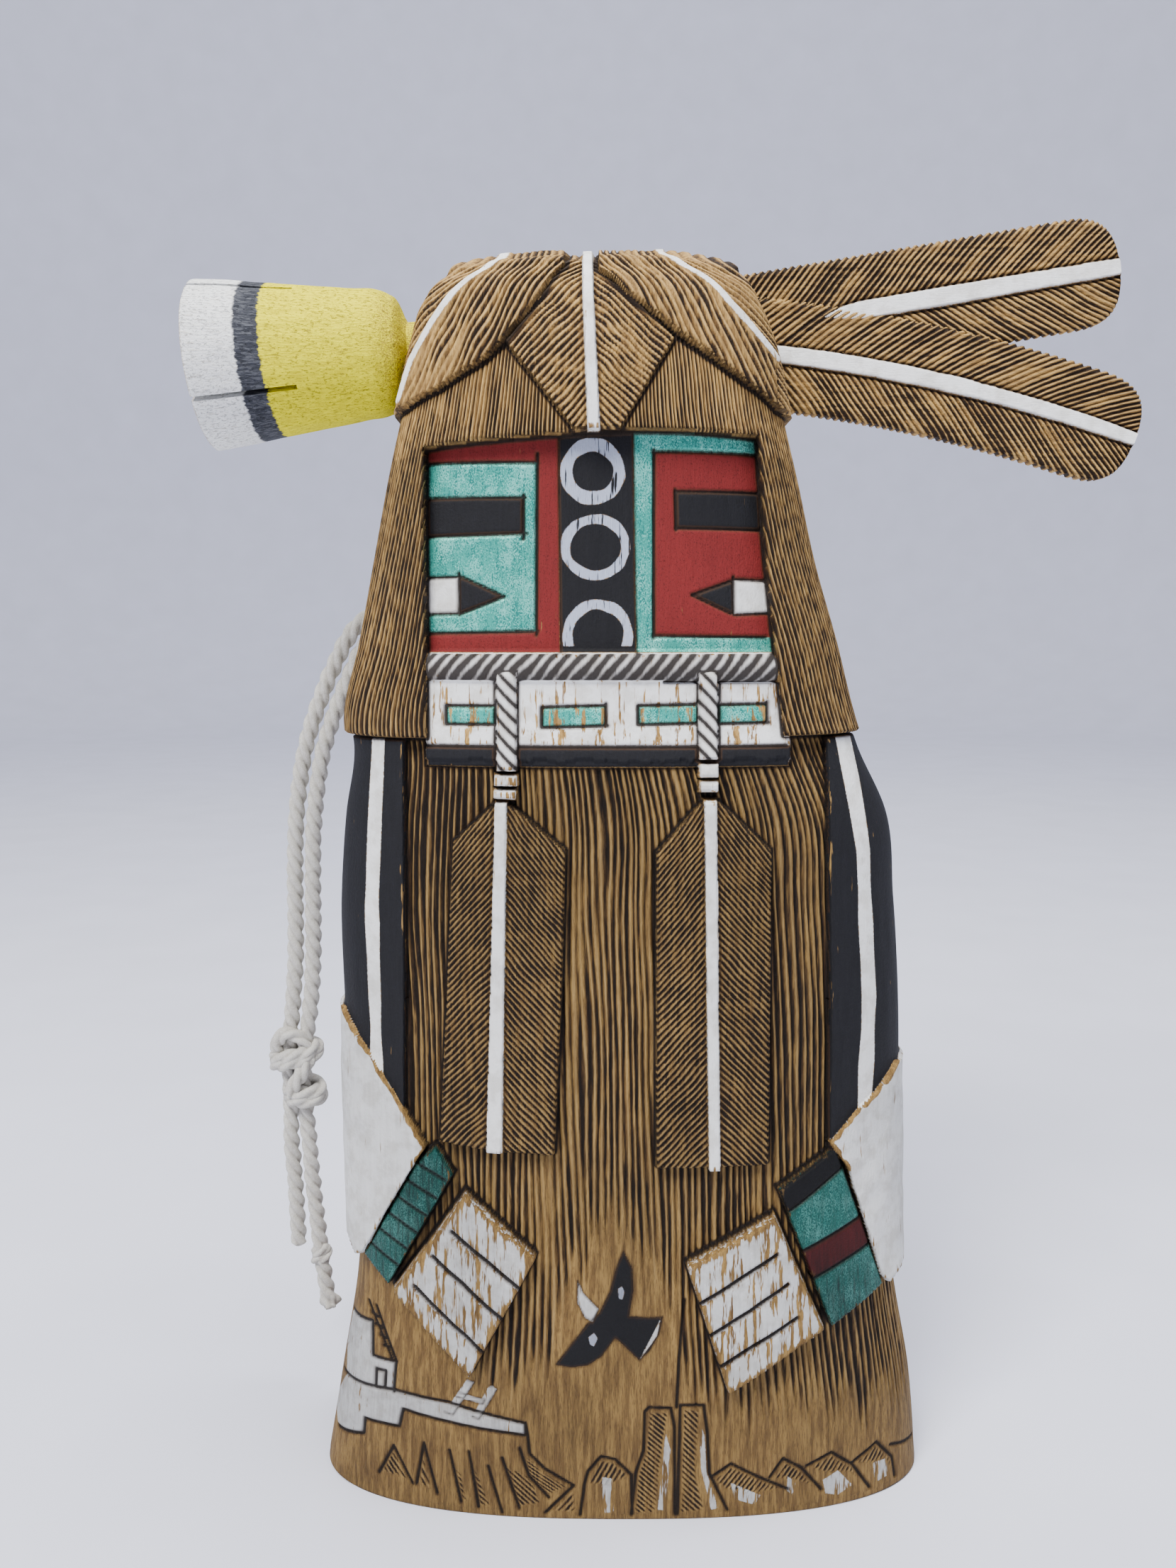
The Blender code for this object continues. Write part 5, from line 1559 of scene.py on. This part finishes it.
@dataclass(frozen=True)
class Blossom:
    """The squash blossom: a turned cup on a peg, sawn into four petals at its mouth."""

    length: float = 37.8
    mouth_radius: float = 15.3
    tilt: float = 4.0
    middle: tuple[float, float] = (4.5, 219.4)
    peg_radius: float = 5.2
    peg_reach: float = 5.8
    slit_width: float = 0.9
    slit_length: float = 18.8
    slit_turn: float = 56.0
    sides: int = 150
    outside: Outline = (
        (0.0, 0.42), (0.02, 0.56), (0.065, 0.67), (0.12, 0.73), (0.22, 0.76), (0.45, 0.83),
        (0.68, 0.90), (0.85, 0.96), (1.0, 1.0),
    )
    dish: Outline = ((1.0, 0.80), (0.92, 0.60), (0.88, 0.30), (0.875, 0.02))

    def placement(self) -> Matrix:
        """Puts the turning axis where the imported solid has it, in millimetres."""
        low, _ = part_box("squash_blossom")
        lean = math.radians(self.tilt)
        end_x = low[0] / MM + self.length * math.cos(lean) + self.mouth_radius * math.sin(lean)
        turned = Matrix.Rotation(-math.pi / 2 - lean, 4, "Y")
        return Matrix.Translation((end_x, self.middle[0], self.middle[1])) @ turned

    def profile(self) -> list[tuple[float, float]]:
        """The turned outline, finely stepped, as (height, radius)."""
        shares, radii = (np.array(column) for column in zip(*self.outside))
        fine = np.concatenate([np.linspace(0.0, 0.14, 24), np.linspace(0.15, 0.985, 84)])
        rows = [(-self.peg_reach, 0.05), (-self.peg_reach, self.peg_radius * 0.96)]
        rows += [(-self.peg_reach * share, self.peg_radius) for share in (0.95, 0.7, 0.4, 0.1)]
        rows += [(at * self.length, radius * self.mouth_radius)
                 for at, radius in zip(fine, smooth_between(fine, shares, radii))]
        rows += [(self.length * 0.996, self.mouth_radius * 0.994), (self.length, self.mouth_radius * 0.975)]
        for (at, radius), (next_at, next_radius) in zip(self.dish, self.dish[1:]):
            for step in range(6):
                share = step / 6
                rows.append(((at + (next_at - at) * share) * self.length,
                             (radius + (next_radius - radius) * share) * self.mouth_radius))
        return rows

    def slit(self, placement: Matrix, turn: float) -> bpy.types.Object:
        """A thin saw cut across the mouth, to be taken out of the cup."""
        mesh = bmesh.new()
        bmesh.ops.create_cube(mesh, size=1.0)
        half = self.mouth_radius * 1.4
        stretch = Matrix.Diagonal((self.slit_width, 2 * half, self.slit_length + 8.0, 1.0))
        lifted = Matrix.Translation((0.0, 0.0, self.length + (8.0 - self.slit_length) / 2))
        whole = placement @ Matrix.Rotation(math.radians(turn), 4, "Z") @ lifted @ stretch
        bmesh.ops.transform(mesh, matrix=Matrix.Scale(MM, 4) @ whole, verts=mesh.verts)
        data = bpy.data.meshes.new("saw_cut")
        mesh.to_mesh(data)
        mesh.free()
        return bpy.data.objects.new("saw_cut", data)

    def build(self) -> bpy.types.Object:
        """Makes the blossom with its saw cuts."""
        placement = self.placement()
        rows = self.profile()
        angle = np.linspace(0.0, 2 * math.pi, self.sides, endpoint=False)
        between_cuts = math.radians(self.slit_turn + 45)
        points = []
        for number, (height, radius) in enumerate(rows):
            coarse = 0.10 * waver(angle * 9.0, np.full(self.sides, height * 0.16 + 3.0), 51)
            coarse = coarse + 0.05 * waver(angle * 24.0, np.full(self.sides, height * 0.3), 52)
            petal = 0.25 * max(0.0, height / self.length - 0.5) * np.cos(4 * (angle - between_cuts))
            wide = radius + (coarse + petal if 6 < number < len(rows) - 18 else 0.0)
            level = np.full(self.sides, height)
            points.append(np.stack([wide * np.cos(angle), wide * np.sin(angle), level], axis=-1))
        local = np.array(points)
        turned = np.array(placement)
        flat = local.reshape(-1, 3) @ turned[:3, :3].T + turned[:3, 3]
        ends = np.array([[0, 0, -self.peg_reach], [0, 0, rows[-1][0]]])
        middles = ends @ turned[:3, :3].T + turned[:3, 3]
        faces = closed_faces(len(rows), self.sides)
        blossom = piece_from("squash_blossom", np.concatenate([flat, middles]), faces, {})
        for turn in (self.slit_turn, self.slit_turn + 90.0):
            cutter = self.slit(placement, turn)
            bpy.context.scene.collection.objects.link(cutter)
            modifier = blossom.modifiers.new("saw", "BOOLEAN")
            modifier.operation, modifier.solver, modifier.object = "DIFFERENCE", "EXACT", cutter
            graph = bpy.context.evaluated_depsgraph_get()
            sawn = bpy.data.meshes.new_from_object(blossom.evaluated_get(graph))
            blossom.modifiers.clear()
            blossom.data = sawn
            bpy.data.objects.remove(cutter, do_unlink=True)
        blossom.data.shade_smooth()
        blossom.data.set_sharp_from_angle(angle=math.radians(50))
        axis = placement.to_3x3() @ Vector((0.0, 0.0, 1.0))
        finish = BlossomFinish(tuple(placement.translation), tuple(axis), self.length)
        blossom.data.materials.clear()
        blossom.data.materials.append(finish.make())
        return settle(blossom, "painted_blossom", "squash_blossom")


# The pair of carved feathers


@dataclass(frozen=True)
class Blade:
    """One carved feather: its quill's line from the root, and its front face."""

    name: str
    length: float
    rise: float
    bow: float
    lift: float
    front_y: float
    back_y: float
    quill_start: float
    root: tuple[float, float] = (18.0, 220.0)

    def line(self, share: np.ndarray) -> np.ndarray:
        """Points of the quill's middle line, as (x, z), at shares of its length."""
        root_x, root_z = self.root
        bend = 4 * self.bow * share * (1 - share)
        up = root_z + self.lift + self.rise * share + bend
        return np.stack([root_x + self.length * share, up], axis=-1)


@dataclass(frozen=True)
class FeatherPair:
    """Two feathers carved as one board: barbs burnt into both faces, and white quills."""

    half_width: float = 10.2
    tip_length: float = 10.5
    quill_width: float = 3.2
    pitch: float = 1.45
    groove: float = 0.48
    rim_fall: float = 0.55
    quill_rise: float = 0.38
    quill_moat: float = 0.30
    rows: int = 330
    front_columns: int = 74
    back_columns: int = 36
    blades: tuple[Blade, ...] = (
        Blade("upper_feather", 75.8, 12.4, 0.0, 3.6, 8.5, 11.2, 0.24),
        Blade("lower_feather", 80.2, -16.8, 2.8, 0.8, 7.9, 11.5, 0.0),
    )

    def make_blade(self, blade: Blade, finish: bpy.types.Material, seed: int) -> bpy.types.Object:
        """Makes one feather.

        Args:
            blade: Its line and faces.
            finish: Its material.
            seed: The number that varies its carving.

        Returns:
            The piece.
        """
        share = 1.0 - (1.0 - np.linspace(0.0, 1.0, self.rows)) ** 1.12
        share[-1] = 0.9996
        line = blade.line(share)
        tangent = np.gradient(line, axis=0)
        tangent /= np.linalg.norm(tangent, axis=-1, keepdims=True)
        past = np.maximum(0.0, 1.0 - (1.0 - share) * blade.length / self.tip_length)
        half = self.half_width * (1.0 - np.minimum(past, 0.999) ** 3) ** (1 / 3)
        front = np.linspace(-1.0, 1.0, self.front_columns)
        back = np.linspace(1.0, -1.0, self.back_columns)
        side = np.concatenate([front, back])[None, :]
        face = np.concatenate([-np.ones(self.front_columns), np.ones(self.back_columns)])[None, :]
        along = share[:, None] * blade.length
        across = side * half[:, None]
        slant = 1.05 + 0.35 * share[:, None] ** 4
        bend = 0.30 * waver(along * 0.12 + across * 0.05, across * 0.15 + 9.0, seed)
        turn = (along - slant * np.abs(across)) / self.pitch + bend + np.where(side > 0, 0.4, 0.0)
        beside = np.abs(turn - np.floor(turn) - 0.5) * 2.0
        groove = eased(0.30, 0.95, beside)
        rim = eased(0.0, 0.9, half[:, None] - np.abs(across))
        across = across * (1.0 - 0.035 * groove * eased(0.93, 1.0, np.abs(side)))
        width = self.quill_width / 2 * (0.9 + 0.15 * np.sin(share[:, None] * 3.0))
        if blade.quill_start:
            width = width * eased(blade.quill_start - 0.02, blade.quill_start + 0.12, share[:, None])
        else:
            width = width * (1.05 - 0.22 * share[:, None])
        on_quill = width - np.abs(across) + 0.08 * waver(along * 0.5, side * 2.0, seed + 3)
        quill = eased(-0.12, 0.12, on_quill)
        depth = -self.groove * groove * (1.0 - quill) * (0.55 + 0.45 * rim)
        depth = depth - self.rim_fall * (1.0 - rim) + self.quill_rise * quill * (0.45 + 0.55 * rim)
        moat = eased(0.55, 0.1, np.abs(on_quill + 0.35))
        depth = depth - self.quill_moat * moat * (1.0 - quill)
        middle_y = (blade.front_y + blade.back_y) / 2
        reach = (blade.back_y - blade.front_y) / 2
        out = reach + depth
        x = line[:, :1] - tangent[:, 1:] * across
        z = line[:, 1:] + tangent[:, :1] * across
        y = middle_y + face * out
        points = np.stack([x, y, z], axis=-1)[:, ::-1]
        burnt = np.clip(1.15 + 0.75 * waver(turn * 0.7, across * 0.2 + 5.0, seed + 1), 0.0, 1.9)
        nothing = np.zeros(across.shape)
        kept = {
            **{paint: nothing - 3.0 for paint in Paint}, Paint.WHITE: on_quill,
            Kept.CUT: np.abs(on_quill + 0.30) + 0.12, Kept.GROOVE: turn,
            Kept.BURNT: burnt * (1.0 - quill), Kept.WEAR: nothing + 0.16,
            Kept.HOLLOW_SHADE: nothing, Kept.SOOT_AND_SHADE: nothing, Kept.RIDGE: nothing,
        }
        kept = {kind.value: np.append(values[:, ::-1], values[[0, -1], -1]) for kind, values in kept.items()}
        flat = points.reshape(-1, 3)
        ends = np.stack([points[0].mean(axis=0), points[-1].mean(axis=0)])
        faces = closed_faces(*points.shape[:2])
        made = piece_from(blade.name, np.concatenate([flat, ends]), faces, kept)
        made.data.set_sharp_from_angle(angle=math.radians(75))
        made.data.materials.append(finish)
        return settle(made, "feather_wood", "feather_pair")

    def build(self) -> list[bpy.types.Object]:
        """Makes both feathers."""
        finish = CarvedWoodFinish("feather_wood", (0.10, 1.0, 1.0), line_from=0.20, core_from=0.34).make()
        return [self.make_blade(blade, finish, 60 + 10 * number) for number, blade in enumerate(self.blades)]


# The doubled cotton cord


@dataclass(frozen=True)
class CottonFinish:
    """Soft white cotton yarn with fine fibres along its twist, and painted shade between its strands."""

    name: str = "cotton_cord"
    light: Colour = rgb(224, 221, 212)
    shade: Colour = rgb(178, 171, 158)

    def make(self) -> bpy.types.Material:
        """Makes the material."""
        bench = Bench(self.name)
        fibres = bench.noise((5.0, 5.0, 3.0), 3.0, 0.7)
        soft = bench.noise((0.8, 0.8, 0.8), 2.0)
        deep = bench.kept(Kept.HOLLOW_SHADE.value)
        colour = bench.mix((fibres + soft * 0.5).eased(0.85, 0.60) * 0.5, self.light, self.shade)
        # Painted shade between the twisted strands.
        colour = bench.mix(deep.eased(0.2, 1.0) * 0.55, colour, self.shade)
        return bench.finish(colour, 0.95, fibres, 0.35, Specular_IOR_Level=0.15)


@dataclass(frozen=True)
class Cord:
    """The hanging loop: two strands from the back, their knot, and two tails."""

    diameter: float = 3.2
    hang_y: float = 23.0
    back_y: float = 20.0
    hole: tuple[float, float] = (-36.0, 174.6)
    hole_spacing: float = 6.8
    sunk: float = 3.6
    strand_spacing: float = 3.8
    lay: float = 10.5
    columns: int = 24
    step: float = 0.36
    route: Outline = (
        (-44.0, 173.2), (-54.6, 166.3), (-58.9, 158.6), (-62.1, 150.9), (-64.7, 143.1), (-66.2, 135.4),
        (-67.2, 127.0), (-67.7, 117.4), (-67.9, 107.4), (-68.2, 97.0), (-69.2, 86.0),
    )
    knot: tuple[float, float] = (-70.3, 73.0)
    # The knot's two outer passes, as (across, out towards the front, up) from its middle.
    arch: tuple[tuple[float, float, float], ...] = (
        (-4.0, 0.5, 3.6), (-3.9, 1.6, 6.4), (-2.2, 2.2, 8.3), (0.4, 2.0, 8.0), (2.3, 1.6, 5.6),
        (2.6, 1.4, 2.6),
    )
    cross: tuple[tuple[float, float, float], ...] = (
        (3.4, 1.6, 3.8), (1.9, 3.0, 0.8), (0.2, 3.1, -2.2), (-1.6, 2.0, -5.4),
    )
    left_tail: Outline = ((-72.1, 63.0), (-72.3, 58.0), (-71.9, 50.0), (-71.5, 40.0), (-71.3, 31.8))
    right_tail: Outline = (
        (-68.7, 63.0), (-68.3, 58.0), (-67.9, 50.0), (-67.2, 41.0), (-66.6, 34.0), (-66.3, 30.0),
        (-65.8, 25.9), (-65.2, 21.5), (-64.3, 17.4),
    )

    def smooth(self, points: list[tuple[float, float, float]]) -> np.ndarray:
        """Evenly spaced points on a smooth curve through the given ones."""
        given = np.array(points, float)
        length = np.concatenate([[0.0], np.cumsum(np.linalg.norm(np.diff(given, axis=0), axis=1))])
        fine = np.linspace(0.0, length[-1], 2000)
        curve = np.stack([smooth_between(fine, length, given[:, i]) for i in range(3)], axis=-1)
        travelled = np.concatenate([[0.0], np.cumsum(np.linalg.norm(np.diff(curve, axis=0), axis=1))])
        wanted = np.linspace(0.0, travelled[-1], max(8, round(travelled[-1] / self.step)))
        return np.stack([np.interp(wanted, travelled, curve[:, i]) for i in range(3)], axis=-1)

    def hole_height(self, upper: bool) -> float:
        """The height of a strand's hole in the back."""
        return self.hole[1] + (0.5 if upper else -0.5) * self.hole_spacing

    def beside(self, distance: float) -> list[tuple[float, float, float]]:
        """The strands' shared route, moved sideways in the plane of the back."""
        line = np.array(self.route)
        along = np.gradient(line, axis=0)
        along /= np.linalg.norm(along, axis=1, keepdims=True)
        moved = line + np.stack([along[:, 1], -along[:, 0]], axis=-1) * distance
        return [(x, self.hang_y, z) for x, z in moved]

    def strand_route(self, upper: bool) -> np.ndarray:
        """One strand from inside its hole, through the knot, to its tail's end."""
        side = 0.5 if upper else -0.5
        hole_x, hole_z = self.hole[0], self.hole_height(upper)
        radius = self.diameter / 2
        points = [
            (hole_x, self.back_y - self.sunk, hole_z), (hole_x, self.back_y + 0.3 * radius, hole_z),
            (hole_x - radius, self.hang_y - 0.2 * radius, hole_z - 0.1),
        ]
        points += self.beside(side * self.strand_spacing)
        points += [(self.knot[0] + (-1.7 if upper else 1.6), self.hang_y, self.knot[1] + 4.0)]
        tail = self.left_tail if upper else self.right_tail
        points += [(x, self.hang_y + (0.3 if upper else -0.2), z) for x, z in tail]
        return self.smooth(points)

    def tube(self, route: np.ndarray, thickness: float = 1.0, frayed: bool = False) -> tuple:
        """A three-strand twist along a route.

        Args:
            route: The points that it follows.
            thickness: Its thickness as a share of the cord's.
            frayed: Whether its last millimetres spread open.

        Returns:
            Its points, faces and depth between strands.
        """
        tangent = np.gradient(route, axis=0)
        tangent /= np.linalg.norm(tangent, axis=1, keepdims=True)
        normal = np.zeros_like(route)
        start = np.cross(tangent[0], (0.0, 1.0, 0.0) if abs(tangent[0][1]) < 0.9 else (1.0, 0.0, 0.0))
        normal[0] = start / np.linalg.norm(start)
        for i in range(1, len(route)):
            carried = normal[i - 1] - tangent[i] * np.dot(normal[i - 1], tangent[i])
            normal[i] = carried / np.linalg.norm(carried)
        other = np.cross(tangent, normal)
        travel = np.concatenate([[0.0], np.cumsum(np.linalg.norm(np.diff(route, axis=0), axis=1))])
        angle = np.linspace(0.0, 2 * math.pi, self.columns, endpoint=False)[None, :]
        turned = angle + 2 * math.pi * travel[:, None] / self.lay
        lobe = (turned % (2 * math.pi / 3)) - math.pi / 3
        radius = self.diameter / 2 * thickness
        offset, ply = radius * 0.52, radius * 0.60
        reach = offset * np.cos(lobe) + np.sqrt(ply ** 2 - (offset * np.sin(lobe)) ** 2)
        uneven = waver(angle * 1.3 + 0 * travel[:, None], travel[:, None] * 0.5 + 0 * angle, 71)
        reach = reach * (1.0 + 0.05 * uneven)
        left = travel[-1] - travel[:, None]
        if frayed:
            spread = eased(5.0, 0.0, left)
            reach = reach * (1.0 + 0.25 * spread + 0.35 * spread * np.cos(angle * 7.0 + left * 0.3))
        reach = reach * np.sqrt(np.clip(np.minimum(left, travel[:, None]) / 1.1, 0.04, 1.0))
        points = (route[:, None] + normal[:, None] * (np.cos(angle) * reach)[..., None]
                  + other[:, None] * (np.sin(angle) * reach)[..., None])
        # How deep each point lies between strands, for painted shade.
        between = np.clip((np.abs(lobe) / (math.pi / 3)) ** 3, 0.0, 1.0)
        flat = points.reshape(-1, 3)
        ends = np.stack([route[0], route[-1]])
        hollow_shade = np.concatenate([between.ravel(), [0.0, 0.0]])
        return np.concatenate([flat, ends]), closed_faces(len(route), self.columns), hollow_shade

    def make_piece(self, name: str, tubes: list[tuple], finish: bpy.types.Material,
                   *nodes: str) -> bpy.types.Object:
        """Joins tubes into one piece of cord.

        Args:
            name: The piece's name.
            tubes: What tube gave for each.
            finish: Its material.
            nodes: The solids that it stands for.

        Returns:
            The piece.
        """
        points, faces, hollow_shade, count = [], [], [], 0
        for tube_points, tube_faces, tube_hollow in tubes:
            faces += [[number + count for number in face] for face in tube_faces]
            points.append(tube_points)
            hollow_shade.append(tube_hollow)
            count += len(tube_points)
        made = piece_from(name, np.concatenate(points), faces, {Kept.HOLLOW_SHADE.value: np.concatenate(hollow_shade)})
        made.data.materials.append(finish)
        return settle(made, "cotton_cord", *nodes)

    def wrap(self, middle: tuple[float, float], wide: float, deep: float, tall: float, turns: float,
             lean: float = 0.0, start: float = 0.0) -> np.ndarray:
        """A coil round the strands.

        Args:
            middle: Its middle, as (x, z).
            wide: Its half width to the cord's middle line.
            deep: Its half depth.
            tall: How far it climbs.
            turns: How many turns it makes.
            lean: How much higher its right side lies than its left.
            start: Where on its turn it starts, in radians.

        Returns:
            The points that it follows.
        """
        share = np.linspace(0.0, 1.0, int(60 * turns))
        angle = start + 2 * math.pi * turns * share
        points = np.stack([
            middle[0] + wide * np.cos(angle), self.hang_y + deep * np.sin(angle),
            middle[1] + tall * (share - 0.5) + lean * np.cos(angle),
        ], axis=-1)
        return self.smooth([tuple(point) for point in points])

    def build(self) -> list[bpy.types.Object]:
        finish = CottonFinish().make()
        x, z = self.knot
        arch, cross = (
            self.smooth([(x + right, self.hang_y - out, z + up) for right, out, up in line])
            for line in (self.arch, self.cross)
        )
        coils = [
            self.tube(self.wrap((x - 0.3, z + 3.2), 4.4, 2.9, 2.6, 2.0, 0.9, 2.4), 0.95),
            self.tube(self.wrap((x + 1.5, z - 5.6), 3.2, 2.8, 3.8, 2.2, -0.3, 0.7), 0.95),
            self.tube(arch, 0.9), self.tube(cross, 0.95),
        ]
        knot = self.make_piece("knot_coils", coils, finish, "cord_knot")
        stopper = self.make_piece(
            "cord_stopper",
            [self.tube(self.wrap((-66.3, 30.1), 1.25, 1.1, 3.2, 2.0, 0.35, 0.4), 0.72)],
            finish, "cord_end_knot",
        )
        made = [knot, stopper]
        for upper, far_end, nodes, pieces in (
            (True, "bare", ("cord_strand_outer", "cord_tail_outer"), (knot,)),
            (False, "knot", ("cord_strand_inner", "cord_tail_inner", "cord_tip"), (stopper,)),
        ):
            route = self.strand_route(upper)
            name = "cord_outer" if upper else "cord_inner"
            strand = self.make_piece(name, [self.tube(route, 1.0, not upper)], finish, *nodes)
            exit_at = (self.hole[0] * MM, self.back_y * MM, self.hole_height(upper) * MM)
            made.append(strand)
        return made


def main() -> None:
    """Builds the studio and the doll's pieces in order."""
    logging.basicConfig(level=logging.INFO, format="%(name)s %(message)s")
    Studio().build()
    Cord().build()
    CarvedBody(Block()).build()
    Blossom().build()
    FeatherPair().build()


if __name__ == "__main__":
    main()
